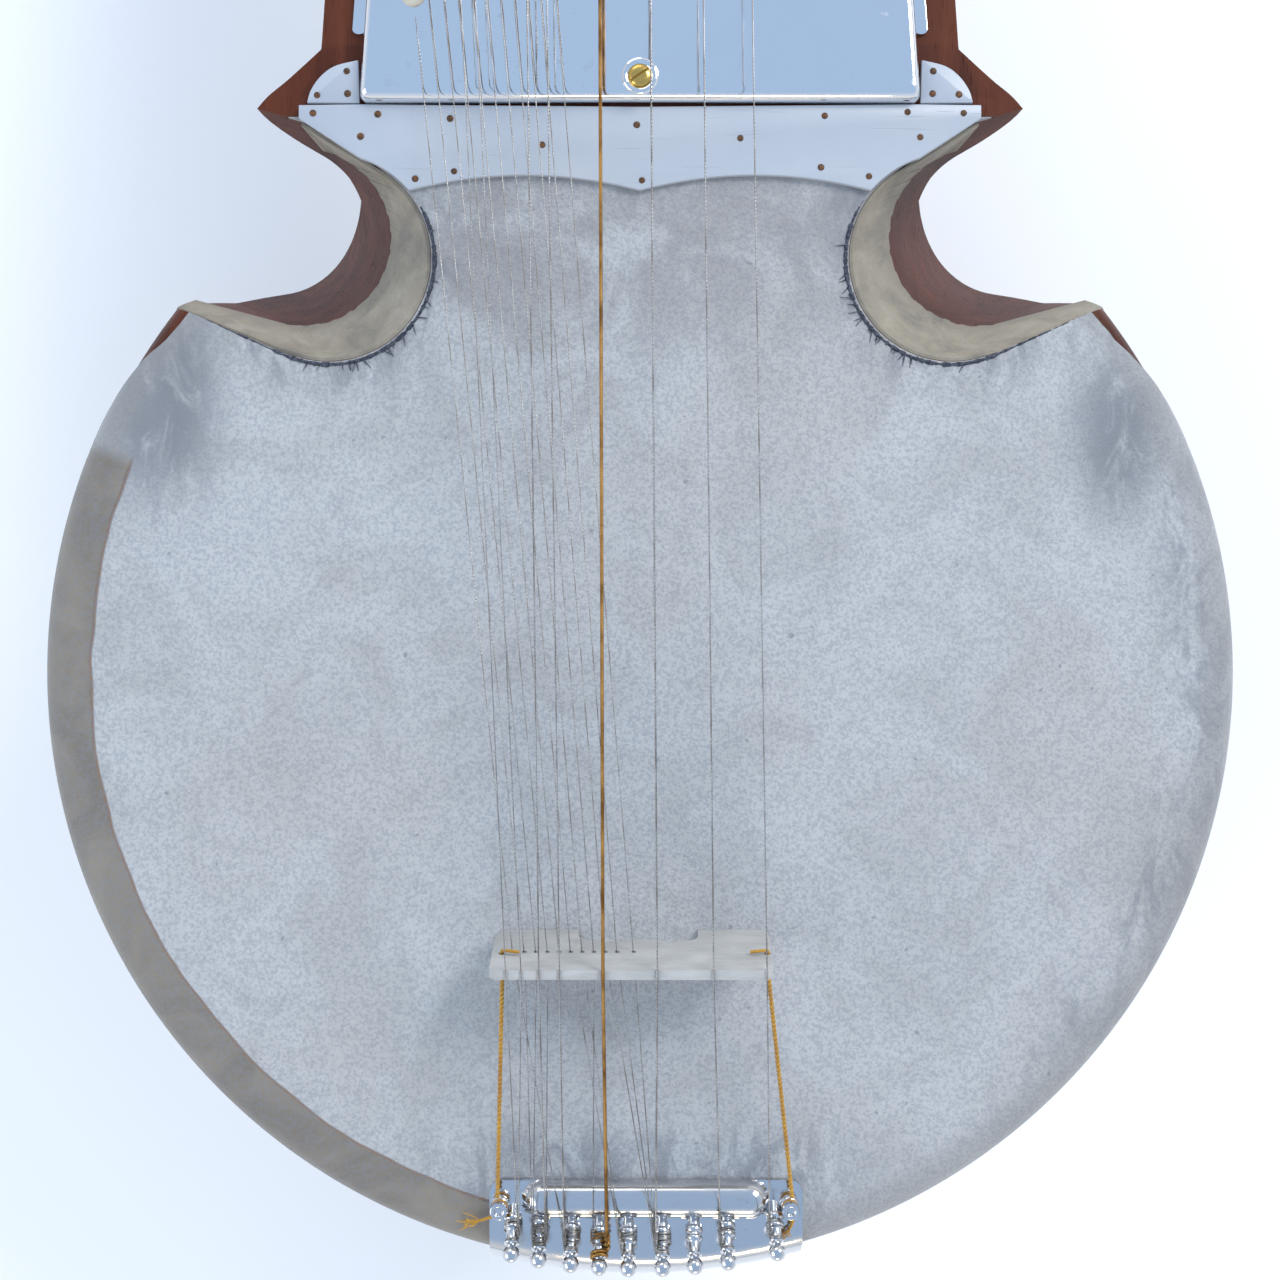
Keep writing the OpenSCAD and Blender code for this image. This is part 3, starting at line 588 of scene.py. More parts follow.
def goatskin():
    """Matt skin with a pebbled grain, dark stains by the waist and a tan lap at the bass side."""
    look = bpy.context.scene.sarod_colours
    b = Material("goatskin")
    r = far(b.x, b.y)
    turn = b.y.math("ARCTAN2", b.y, b.x) * (180 / math.pi)
    pebble = b.noise(0.8, 3.0, roughness=0.62)
    grain = b.cells(0.7)
    cloud = b.noise(26.0, 5.0, roughness=0.62, warp=0.8)
    broad = b.noise(85.0, 2.0, shift=(3, 1, 0))
    streak = b.noise(9.0, 5.0, (1.0, 2.2, 1.0), 0.68, 1.2)
    colour = b.mix(cloud.between(0.38, 0.68), tuple(look.skin), (0.375, 0.38, 0.38))
    colour = b.mix(broad.between(0.45, 0.75) * 0.5, colour, (0.38, 0.36, 0.33))
    warm = b.y.between(60, 112) * cloud.between(0.30, 0.62)
    colour = b.mix(warm * 0.85, colour, (0.27, 0.265, 0.265))
    # blue-grey soaking at the shoulders, round the waist cuts and down the treble edge, and painted
    # shade above the tailpiece
    left, right = far(b.x + 121, b.y - 70, 0.32), far(b.x - 120, b.y - 60, 0.3)
    shoulders = left.between(25, 6).most(right.between(19, 3)) * streak.between(0.22, 0.55)
    cut_ring = far(b.x.size() - CUT_AT.x, b.y - CUT_AT.y)
    halo = cut_ring.between(CUT_R + 13, CUT_R + 1) * streak.between(0.42, 0.66) * 0.8
    edge = b.x.between(60, 130) * r.between(127, 140) * streak.between(0.38, 0.66)
    # painted shade: a blue-grey band on the skin along the tailpiece's top edge
    tail = b.y.between(-108, -122) * b.x.size().between(70, 35) * streak.between(0.4, 0.62) * 0.7
    stain_and_shade = shoulders.most(halo).most(edge * 0.75).most(tail)
    colour = b.mix(stain_and_shade * 0.78, colour, tuple(look.stain_and_shade))
    # the lap: tan, from the bass shoulder round to the tailpiece
    wave = b.noise(16.0, 2.0) * 3.0
    lap_in = BELLY_R - 16.2 + wave * 0.55
    bass = turn.between(-97, -101).most(turn.between(156.5, 158.5))
    lap = r.between(lap_in, lap_in + 0.8) * bass
    # painted shade: the skin is darkened where it rounds over the rim, everywhere but the bass lap
    rim = r.between(BELLY_R - 14, BELLY_R - 8) * (1.0 - bass)
    colour = b.mix(rim * 0.55, colour, (0.26, 0.255, 0.245))
    lap_tone = b.mix(cloud.between(0.3, 0.7), (0.20, 0.165, 0.115), (0.12, 0.10, 0.075))
    colour = b.mix(lap * 0.88, colour, lap_tone)
    crease = (r - (lap_in + 0.2)).size().between(0.55, 0.1) * bass
    colour = b.mix(crease * 0.8, colour, (0.17, 0.08, 0.03))
    low_side = b.z.between(FACE - 4, FACE - 15)
    colour = b.mix(low_side * 0.7, colour, (0.21, 0.18, 0.14))
    specks = b.noise(2.6, 1.0, shift=(7, 2, 0)).between(0.755, 0.80)
    colour = b.mix(specks * 0.5, colour, (0.12, 0.12, 0.15))
    # painted shade: the pebbled grain is darkened blue-grey in the low parts of its bump
    colour = b.mix(pebble.between(0.60, 0.36) * 0.42, colour, (0.17, 0.185, 0.22))
    height = pebble * 0.8 - grain * 0.55 - crease * 1.4 + lap * 0.8 + cloud * 0.5
    return b.finish(colour, 0.58 + pebble * 0.14, height, 0.16, Sheen_Weight=0.12)


def parchment():
    """Tan glued skin on the slopes of the waist cuts."""
    b = Material("parchment")
    cloud = b.noise(11.0, 5.0, roughness=0.65, warp=0.5)
    fleck = b.noise(1.3, 3.0, roughness=0.6)
    colour = b.ramp(cloud, (0.3, (0.15, 0.135, 0.11)), (0.52, (0.27, 0.235, 0.175)),
                    (0.75, (0.34, 0.305, 0.25)))
    colour = b.mix(fleck.between(0.6, 0.36) * 0.3, colour, (0.20, 0.18, 0.16))
    low = b.z.between(FACE - CUT_SHELF + 5, FACE - CUT_SHELF)
    colour = b.mix(low * cloud.between(0.35, 0.6) * 0.6, colour, (0.16, 0.13, 0.10))
    return b.finish(colour, 0.5 + fleck * 0.15, fleck * 0.6 + cloud, 0.15)


def white_sheet():
    b = Material("white_sheet")
    haze = b.noise(24.0, 3.0)
    fine = b.noise(0.7, 2.0)
    scratch = b.noise(1.2, 2.0, (18, 1, 1), shift=(2, 5, 0)).between(0.66, 0.72)
    colour = b.mix(haze.between(0.35, 0.7), (0.42, 0.46, 0.51), (0.46, 0.49, 0.53))
    colour = b.mix(scratch * 0.25, colour, (0.30, 0.33, 0.38))
    # painted reflection: the raised edges are tinted grey-blue for the sky light they catch
    colour = b.mix(b.raised_edges() * 0.4, colour, (0.27, 0.30, 0.37))
    return b.finish(colour, 0.34 + haze * 0.12 + scratch * 0.2, fine * 0.3 - scratch * 0.5, 0.05)


def bone(name, pale, shade):
    """Filed bone: pale, with fine streaks along it and darker brown in its hollows."""
    b = Material(name)
    streak = b.noise(1.1, 4.0, (9, 1, 2.5), 0.6)
    cloud = b.noise(8.0, 3.0)
    colour = b.mix(cloud.between(0.3, 0.7) * 0.8, pale, shade)
    colour = b.mix(streak.between(0.58, 0.34) * 0.3, colour, tuple(0.72 * c for c in shade))
    hollow = b.crest().between(0.49, 0.44)
    colour = b.mix(hollow * 0.5, colour, (0.25, 0.20, 0.13))
    return b.finish(colour, 0.36 + streak * 0.16, streak * 0.7 + cloud * 0.4, 0.05,
                    Subsurface_Weight=0.08, Subsurface_Scale=0.002)


def bright_metal(name, tint, rough, haze_size, dirt, waves, brushed=(1, 1, 1)):
    """Bright metal with handling marks, fine hairlines and a little waviness."""
    b = Material(name)
    smear = b.noise(haze_size, 5.0, roughness=0.62, warp=0.6)
    hair = b.noise(0.55, 2.0, brushed, 0.5)
    spots = b.noise(4.0, 3.0, shift=(5, 3, 1)).between(0.66, 0.74)
    colour = b.mix(spots * dirt, tint, tuple(0.45 * c for c in tint))
    colour = b.mix(smear.between(0.45, 0.75) * dirt * 0.6, colour, tuple(0.7 * c for c in tint))
    marks = rough + smear.between(0.4, 0.8) * rough * 1.5 + spots * 0.16 + hair * rough * 0.8
    swell = b.noise(38.0, 1.0, (1.3, 1.3, 1.3))
    return b.finish(colour, marks, hair * 0.02 + swell * waves, 0.2, 1.0)


def wire(name, tint, dark, turn_size, rough):
    """Wire wound or drawn: fine turns across the string."""
    b = Material(name)
    turns = b.y.math("SINE", b.y * (2 * math.pi / turn_size))
    tarnish = b.noise(7.0, 3.0)
    colour = b.mix(tarnish.between(0.35, 0.7), tint, dark)
    colour = b.mix(turns.between(-0.2, -1.0) * 0.35, colour, tuple(0.4 * c for c in dark))
    return b.finish(colour, rough + tarnish * 0.15, turns, 0.03, 1.0)


def cotton():
    """Twisted yellow cotton thread."""
    b = Material("cotton")
    fibre = b.noise(0.35, 3.0, (1, 3, 1))
    age = b.noise(9.0, 3.0)
    colour = b.mix(age.between(0.3, 0.7), (0.58, 0.32, 0.03), (0.42, 0.20, 0.02))
    colour = b.mix(fibre.between(0.6, 0.35) * 0.4, colour, (0.2, 0.09, 0.01))
    return b.finish(colour, 0.8 + fibre * 0.1, fibre, 0.08, Sheen_Weight=0.3)


def dark_iron():
    b = Material("dark_iron")
    rust = b.noise(0.8, 4.0)
    colour = b.mix(rust.between(0.35, 0.65), (0.05, 0.03, 0.02), (0.16, 0.07, 0.025))
    return b.finish(colour, 0.45 + rust * 0.3, rust, 0.05, 0.4)


def seam_glue():
    """Blue-black glue and dirt along a seam."""
    b = Material("seam_glue")
    fleck = b.noise(0.8, 3.0)
    colour = b.mix(fleck.between(0.4, 0.65), (0.012, 0.016, 0.030), (0.07, 0.08, 0.11))
    return b.finish(colour, 0.55 + fleck * 0.2, fleck, 0.06)


FINISHES = {}


def finish_of(name):
    """The named finish, made once."""
    if name not in FINISHES:
        look = bpy.context.scene.sarod_colours
        wood = tuple(look.wood)
        makers = {
            "carved_wood": lambda: carved_wood(
                name, tuple(0.42 * c for c in wood), wood,
                (wood[0] * 1.7, wood[1] * 1.75, wood[2] * 1.5)),
            "peg_wood": lambda: carved_wood(name, (0.020, 0.008, 0.006), (0.055, 0.019, 0.012),
                                            (0.11, 0.042, 0.024), (14, 1, 1), 0.3),
            "goatskin": goatskin,
            "parchment": parchment,
            "white_sheet": white_sheet,
            "bridge_bone": lambda: bone(name, (0.47, 0.47, 0.46), (0.39, 0.39, 0.38)),
            "ivory_bone": lambda: bone(name, (0.54, 0.50, 0.42), (0.43, 0.39, 0.31)),
            "mirror_steel": lambda: bright_metal(name, tuple(look.steel), 0.035, 45.0, 0.12, 0.35,
                                                 (1, 30, 1)),
            "chrome": lambda: bright_metal(name, (0.60, 0.605, 0.62), 0.09, 9.0, 0.35, 0.15),
            "brass": lambda: bright_metal(name, (0.62, 0.40, 0.11), 0.16, 4.0, 0.6, 0.0),
            "bronze_wire": lambda: wire(name, tuple(look.bronze), (0.16, 0.075, 0.02), 0.5, 0.35),
            "steel_wire": lambda: wire(name, (0.42, 0.41, 0.40), (0.22, 0.20, 0.18), 0.9, 0.28),
            "cotton": cotton,
            "seam_glue": seam_glue,
            "dark_iron": dark_iron,
        }
        FINISHES[name] = makers[name]()
    return FINISHES[name]


# ---------------------------------------------------------------- carved body
def hull(points):
    """Passing object drawn tight round some points in millimetres."""
    shape = bmesh.new()
    for point in points:
        shape.verts.new(Vector(point) * MM)
    done = bmesh.ops.convex_hull(shape, input=shape.verts)
    spare = {v for v in done["geom_interior"] if isinstance(v, bmesh.types.BMVert)}
    bmesh.ops.delete(shape, geom=list(spare), context="VERTS")
    outward(shape)
    mesh = bpy.data.meshes.new("tool")
    shape.to_mesh(mesh)
    shape.free()
    return linked("tool", mesh)


def circle(x, y, z, radius, sides=96):
    return [(x + radius * c, y + radius * s, z) for c, s in circle_steps(sides)]


def cut_outline(side, z):
    """Points whose hull is a waist cut's outline at the face."""
    points = circle(*CUT_AT, z, CUT_R)
    points += [(APRON_HIGH.x, SEAM - 3, z), (BARB_HALF + 1, SEAM - 0.5, z),
               (200, SEAM - 0.5, z), (200, CUT_AT.y + 26.8, z)]
    return [(side * x, y, z) for x, y, z in points]


def cut_rounds(side, depth, radius, spots):
    """Points of two circles at a depth below the face, at spots beside the middle of a waist cut."""
    return [(side * x, y, z) for spot in spots
            for x, y, z in circle(*(CUT_AT + Vector(spot)), FACE - depth, radius)]


def shelf_outline(side):
    """Points whose hull is a waist cut's outline at the foot of the parchment."""
    return cut_rounds(side, CUT_SHELF, CUT_R - 2, [(11.5, 11), (60, 24)])


def waist_cutters():
    """The upper and the lower part of each waist cut."""
    tools = []
    for side in (1, -1):
        shelf = shelf_outline(side)
        tools.append(hull(cut_outline(side, FACE) + cut_outline(side, FACE + 30) + shelf))
        tools.append(hull(shelf + cut_rounds(side, CUT_DEPTH, CUT_R - 16, [(33, 31.5), (80, 37)])))
    return tools


def bowl_profile(radius):
    """Outside of the bowl as (radius, height), with its rounded rim."""
    quarter = [(REST_R + (radius - REST_R) * math.sin(math.radians(a)),
                WIDEST * (1 - math.cos(math.radians(a)))) for a in range(0, 91, 3)]
    top = FACE - SKIN_T
    rim = [(radius - RIM_ROUND * (1 - math.cos(a)), RIM_START + (top - RIM_START) * math.sin(a))
           for a in [math.radians(9 * k) for k in range(11)]]
    return [(0, 0)] + quarter + rim + [(0, top)]


def neck_section(y):
    """Half width, depth and squareness of the neck or pegbox at a distance y."""
    half = neck_half(y)
    if y < SHOULDER:
        half = neck_half(SHOULDER) + 6 * (1 - ease(SEAM - 4, SHOULDER + 1, y))
    if y > PEGBOX_END:
        half -= 8 * ease(PEGBOX_END, FINIAL, y)
    depth = half if y < NUT else half + (38 - PEGBOX_END_HALF) * ease(NUT, PEGBOX_END, y)
    if y > PEGBOX_END:
        depth = 38 - 6 * ease(PEGBOX_END, FINIAL, y)
    return half, depth, 2 + 2.2 * ease(NUT - 6, NUT + 14, y)


def neck_ring(y):
    """Points round the neck or pegbox at a distance y, from edge to edge underneath."""
    half, depth, square = neck_section(y)
    ring = []
    for k in range(57):
        a = math.pi * k / 56
        across = math.copysign(abs(math.cos(a)) ** (2 / square), math.cos(a))
        ring.append(Vector((half * across, y, FACE - depth * math.sin(a) ** (2 / square))))
    return ring


def neck_solid():
    """Neck and pegbox, with close rings where the shape changes fast."""
    nut, end = int(NUT), int(PEGBOX_END)
    ys = [60, 80, 100, 120, 130, *range(136, 166, 3), *range(170, nut - 10, 16),
          *range(nut - 8, nut + 20, 3), *range(nut + 28, end, 16)]
    ys += [PEGBOX_END + k * (FINIAL - PEGBOX_END) / 4 for k in range(5)]
    return rings_mesh([neck_ring(y) for y in ys])


def barbs_solid():
    """The two upper points of the waist, fading into the neck underneath."""
    tip = SEAM - 0.5
    join = neck_half(SHOULDER) - 2
    rings = []
    for k in range(11):
        down = BARB_DEPTH * k / 10
        half = BARB_HALF - 24 * (k / 10) ** 1.7
        curve = spline([(half, tip, 0), (half - 3.2, tip + 3.6, 0), (half - 8.5, tip + 8, 0),
                        (join + (half - BARB_HALF) * 0.8, SHOULDER + 2.5, 0)], 5)
        edge = [(half, 62)] + [(p.x, p.y) for p in curve]
        rings.append([Vector((x, y, FACE - down)) for x, y in edge]
                     + [Vector((-x, y, FACE - down)) for x, y in reversed(edge)])
    return rings_mesh(rings)


def finial_solid():
    """Turned head: a neck, a bulb with three beads and a small tip."""
    knots = [(20, -6), (20, -1), (17, 4), (13.5, 9), (14.5, 14), (18.2, 17.5), (18.6, 19.5),
             (17.4, 21), (20.5, 27), (23.2, 35), (23, 42), (20.8, 50), (16, 57.5), (13.4, 61),
             (14.4, 62.6), (13, 64.6), (9.2, 67.5), (8, 72), (7.6, 77), (8.4, 80.5), (6.6, 85.5),
             (3.2, 87.6)]
    curve = spline([(r, h, 0) for r, h in knots], 3)
    profile = [(0, -6)] + [(max(0.4, p.x), p.y) for p in curve] + [(0, 88)]
    place = Matrix.Translation((0, FINIAL, FACE - 22)) @ Matrix.Rotation(-math.pi / 2, 4, "X")
    return turned(profile, 64, place)


def hollow_cutters():
    """Cutters for the pegbox, its eased edge and the trough under the plate."""
    near, end = NUT + 10, PEGBOX_END - 10

    def opening(grow):
        x0, y0 = neck_half(near) - PEGBOX_WALL + grow, near - grow
        x1, y1 = PEGBOX_END_HALF - PEGBOX_WALL + grow, end + grow
        right = [(x0 - 3, y0), (x0, y0 + 3), (x1, y1 - 6), (x1 - 3, y1 - 1.5), (x1 - 8, y1)]
        return right + [(-x, y) for x, y in reversed(right)]

    lip = [[Vector((x, y, FACE + z)) for x, y in opening(grow)]
           for grow, z in ((0, -3.0), (0.5, -1.3), (1.5, -0.4), (3.4, 0.6), (3.4, 3))]
    trough = []
    for k in range(13):
        y = SHOULDER + 1 + (NUT - 13 - SHOULDER) * k / 12
        r = neck_half(y) - NECK_WALL
        under = [Vector((r * math.cos(math.pi * i / 32), y, FACE - r * math.sin(math.pi * i / 32)))
                 for i in range(33)]
        trough.append([Vector((r, y, FACE + 2))] + under + [Vector((-r, y, FACE + 2))])
    return [tool(outline_solid(opening(0), FACE - PEGBOX_DEPTH, FACE + 20)),
            tool(rings_mesh(lip)), tool(rings_mesh(trough))]


def joint_spot(joint):
    """Where a joint is, in millimetres."""
    return Vector(joint["pos_m"]) / MM


def peg_bores():
    """One cutter with every peg's bore, from the joints' own places."""
    bores = []
    for joint in frame["joints"]:
        spot = joint_spot(joint)
        main = joint["child"] in MAIN_PEGS
        place = Matrix.Translation((-110, spot.y, spot.z)) @ Matrix.Rotation(math.pi / 2, 4, "Y")
        bores.append(rod((MAIN_SHAFT_R if main else SIDE_SHAFT_R) + PEG_PLAY, 0,
                         220 if main else 110, 48, place))
    return tool(*bores)


def bowl_tool(radius):
    """Passing object of the bowl."""
    return tool(turned(bowl_profile(radius), 256))


def make_body():
    body = mesh_object("sarod_body", *turned(bowl_profile(BOWL_R), 256))
    cut(body, [tool(neck_solid()), tool(barbs_solid()), tool(finial_solid())], "UNION")
    seat = tool(slab(150, 60, SEAM - 2, FACE - SKIN_T, FACE + 20))
    cut(body, [seat] + waist_cutters() + hollow_cutters() + [peg_bores()])
    smooth(body, 33)
    body.data.name = body.name
    finished(body, "carved_wood", "wood", replaces=["body"])


class SAROD_OT_body(bpy.types.Operator):
    """Carve the bowl, waist, neck, pegbox and head from one block"""
    bl_idname = "sarod.body"
    bl_label = "Body"

    def execute(self, context):
        make_body()
        return {"FINISHED"}


# ---------------------------------------------------------------- skin and waist strips
def skin_reach(turn):
    """How far the skin laps round the rim, 1 for all the way; short where the shoulders show wood."""
    degrees = math.degrees(turn) % 360
    above = degrees if degrees < 90 else 180 - degrees
    bare = ease(19, 24, above) * (1 - ease(50, 54, above))
    return 1 - bare * (0.58 + 0.40 * ease(22, 38, above))


def make_skin(seed):
    """Skin over the bowl with a ragged lap, and its upper part across the waist."""
    draw = random.Random(seed)
    sides, rows = 360, 16
    ragged = [draw.uniform(-1, 1) for _ in range(sides)]
    low = SKIN_LOW.z
    flat_r = BELLY_R - RIM_ROUND - 1.2
    full = [(flat_r + (BELLY_R - flat_r) * math.sin(a), RIM_START + (FACE - RIM_START) * math.cos(a))
            for a in [math.radians(90 * k / 12) for k in range(13)]]
    full += [(BELLY_R, RIM_START + (low - RIM_START) * k / 6) for k in range(1, 7)]
    lengths = [0.0]
    for (r0, z0), (r1, z1) in zip(full, full[1:]):
        lengths.append(lengths[-1] + math.hypot(r1 - r0, z1 - z0))

    def at(share):
        """Radius and height at a share of the way down the rim."""
        want = share * lengths[-1]
        for i, ((r0, z0), (r1, z1)) in enumerate(zip(full, full[1:])):
            if want <= lengths[i + 1] or i == len(full) - 2:
                t = (want - lengths[i]) / (lengths[i + 1] - lengths[i])
                return r0 + t * (r1 - r0), z0 + t * (z1 - z0)

    outer_rings = [[] for _ in range(rows + 1)]
    inner_rings = [[] for _ in range(rows + 1)]
    for k, (c, s) in enumerate(circle_steps(sides)):
        rag = 0.55 * ragged[k] + 0.45 * ragged[k // 3 * 3]
        reach = skin_reach(2 * math.pi * k / sides) + 0.018 * rag - 0.018
        reach = max(0.012, min(1.0, reach))
        for row in range(rows + 1):
            share = reach * row / rows
            r, z = at(share)
            ahead, back = at(min(1.0, share + 0.02)), at(max(0.0, share - 0.02))
            dr, dz = ahead[0] - back[0], ahead[1] - back[1]
            length = math.hypot(dr, dz)
            thick = (SKIN_T - 0.05) * (1.0 if row < rows else 0.35)
            inside = r + dz / length * thick
            outer_rings[row].append(Vector((r * c, r * s, z)))
            inner_rings[row].append(Vector((inside * c, inside * s, z - dr / length * thick)))
    floor_z = FACE - SKIN_T + 0.05
    rings = [circle(0, 0, FACE, flat_r * f, sides) for f in (0.5, 0.97)]
    rings += outer_rings + inner_rings[::-1]
    rings += [circle(0, 0, floor_z, flat_r * f, sides) for f in (0.97, 0.5)]
    skin = mesh_object("goatskin_head", *rings_mesh(rings))
    half, end = APRON_HIGH.x + 8, SEAM - 2.2     # the skin goes on under the apron this far
    cut(skin, [tool(slab(half, 40, end, floor_z, FACE))], "UNION")
    beyond = tool(outline_solid([(half, 97), (300, 97), (300, 300), (-300, 300), (-300, 97),
                                 (-half, 97), (-half, end), (half, end)], low - 5, FACE + 5))
    cut(skin, [beyond] + waist_cutters())
    smooth(skin, 40)
    finished(skin, "goatskin", "goatskin", replaces=["skin"])


def wall_point(side, turn, depth, out):
    """Point at a share of the depth of a waist cut's upper wall, where the wall faces a direction."""
    n = Vector((math.cos(turn), math.sin(turn)))
    a, b = (max((Vector((x, y)) for x, y, _ in points), key=lambda p: p.dot(n))
            for points in (cut_outline(1, 0), shelf_outline(1)))
    p = a + (b - a) * depth - n * out
    return Vector((side * p.x, p.y, FACE - CUT_SHELF * depth))


def make_waist_strips(seed):
    """Parchment on the slope of each waist cut, with a wavy lower edge, ending at the wood."""
    draw = random.Random(seed)
    steps, rows, top = 150, 7, 0.07
    first, last = math.radians(105.5), math.radians(288)
    for side, node in ((-1, "waist_strip_left"), (1, "waist_strip_right")):
        wander = [draw.uniform(-1, 1) for _ in range(steps + 20)]
        rings = []
        for i in range(steps + 1):
            turn = first + (last - first) * i / steps
            wave = sum(wander[i:i + 12]) / 12
            drop = 0.955 + 0.035 * wave - top

            def points(out_at):
                return [wall_point(side, turn, top + drop * k / rows, out_at(k))
                        for k in range(rows + 1)]

            outer = points(lambda k: 0.9 + 0.12 * math.sin(i * 0.7) * k / rows
                           + (0.25 * abs(wave) if k == rows else 0))
            rings.append(points(lambda k: 0.08) + outer[::-1])
        strip = mesh_object(node + "_parchment", *rings_mesh(rings))
        within = bowl_tool(BOWL_R + 0.6)
        cut(within, [tool(barbs_solid())], "UNION")
        cut(strip, [within], "INTERSECT")
        smooth(strip, 45)
        finished(strip, "parchment", "parchment", replaces=[node])


def make_seams(seed):
    """Dark glue line along the skin's edge at each waist cut, with lifted scraps."""
    draw = random.Random(seed)
    shapes = []

    def on_face(p):
        return Vector((p.x, p.y, FACE - 0.12 + draw.uniform(-0.05, 0.1)))

    start_at, end_at = 146, 291      # degrees round the wall of a cut
    for side in (-1, 1):
        path, widths = [], []
        for i in range(160):
            degrees = start_at + (end_at - start_at) * i / 159
            path.append(on_face(wall_point(side, math.radians(degrees), 0.015, -0.35)))
            widths.append(0.1 + ease(start_at, start_at + 14, degrees) * draw.uniform(0.18, 0.62))
        last, far = path[-1], Vector((side * 200, CUT_AT.y + 26.4, FACE))
        for k in range(1, 25):
            path.append(on_face(last + (far - last).normalized() * k))
            widths.append(0.08 + draw.uniform(0.1, 0.5) * (1 - k / 25))
        shapes.append(cord(path, widths, 7))
        for _ in range(26):
            turn = math.radians(draw.uniform(165, 285))
            start = wall_point(side, turn, 0.02, -0.2)
            away = Vector((side * math.cos(turn), math.sin(turn), 0))
            lean = Vector((-away.y, away.x, 0)) * draw.uniform(-0.8, 0.8)
            end = start + (away + lean) * draw.uniform(0.9, 3.2)
            start.z, end.z = FACE + 0.02, FACE + 0.08
            half_way = (start + end) / 2 + Vector((0, 0, draw.uniform(0.1, 0.35)))
            shapes.append(cord([start, half_way, end], [0.16, 0.12, 0.05], 5))
    fitted("waist_seams", shapes, 60, "seam_glue", "goatskin")


class SAROD_OT_skin(bpy.types.Operator):
    """Stretch the goatskin over the bowl, with the parchment and glue lines of the waist cuts"""
    bl_idname = "sarod.skin"
    bl_label = "Skin"

    def execute(self, context):
        seed = context.scene.sarod_sizes.seed
        make_skin(seed)
        make_waist_strips(seed + 1)
        make_seams(seed + 2)
        return {"FINISHED"}


# ---------------------------------------------------------------- apron and ears
def make_apron():
    corner, low = 57.5, APRON_LOW.y
    rise = 3.8
    lobe_r = ((corner / 2) ** 2 + rise ** 2) / (2 * rise)
    edge = [(APRON_HIGH.x, SEAM - 3), (APRON_HIGH.x, SEAM + 0.2), (70, SEAM + 0.4), (0, SEAM - 0.2),
            (-70, SEAM + 0.4), (-APRON_HIGH.x, SEAM + 0.2), (-APRON_HIGH.x, SEAM - 3)]
    for middle_x in (-corner / 2, corner / 2):
        for k in range(29):
            x = middle_x - corner / 2 + corner * k / 28
            edge.append((x, low + rise - lobe_r + math.sqrt(lobe_r ** 2 - (x - middle_x) ** 2)))
    edge = [p for i, p in enumerate(edge) if p != edge[i - 1]]
    apron = mesh_object("apron_sheet", *outline_solid(edge, FACE, APRON_HIGH.z))
    spots = [Matrix.Translation((side * CUT_AT.x, CUT_AT.y, FACE - 2)) for side in (-1, 1)]
    cut(apron, [tool(*(rod(CUT_R + 0.2, 0, 8, 160, spot) for spot in spots))])
    rounded(apron, 0.35)
    finished(apron, "white_sheet", "white_sheet", replaces=["apron"])
    for side, node in ((-1, "ear_left"), (1, "ear_right")):
        inner = plate_half(SEAM) + 0.4
        curve = spline([(83, SEAM + 0.8, 0), (82, SEAM + 4, 0), (79.6, SEAM + 7.4, 0),
                        (76, SEAM + 10, 0), (inner + 0.3, SEAM + 11.5, 0)], 6)
        ring = [(side * inner, SEAM + 0.7)] + [(side * p.x, p.y) for p in curve]
        ear = mesh_object(node + "_sheet", *outline_solid(ring, FACE, mm_box(node)[1].z))
        rounded(ear, 0.3)
        finished(ear, "white_sheet", "white_sheet", replaces=[node])


def make_pins(seed):
    draw = random.Random(seed)
    heads = []
    for top in tops("apron_pins"):
        place = (Matrix.Translation(top - Vector((0, 0, 0.25)))
                 @ Matrix.Rotation(draw.uniform(-0.12, 0.12), 4, "X")
                 @ Matrix.Rotation(draw.uniform(-0.12, 0.12), 4, "Y"))
        r = draw.uniform(0.78, 0.92)
        heads.append(turned([(0.55, -5), (0.55, -0.05), (r, -0.05), (r, 0.05), (r * 0.86, 0.16),
                             (r * 0.5, 0.24), (0, 0.25)], 20, place))
    fitted("apron_pin_heads", heads, 50, "dark_iron", "dark_pins", replaces=["apron_pins"])


class SAROD_OT_apron(bpy.types.Operator):
    """Lay the white apron and ears and drive their pins"""
    bl_idname = "sarod.apron"
    bl_label = "Apron"

    def execute(self, context):
        make_apron()
        make_pins(context.scene.sarod_sizes.seed + 3)
        return {"FINISHED"}


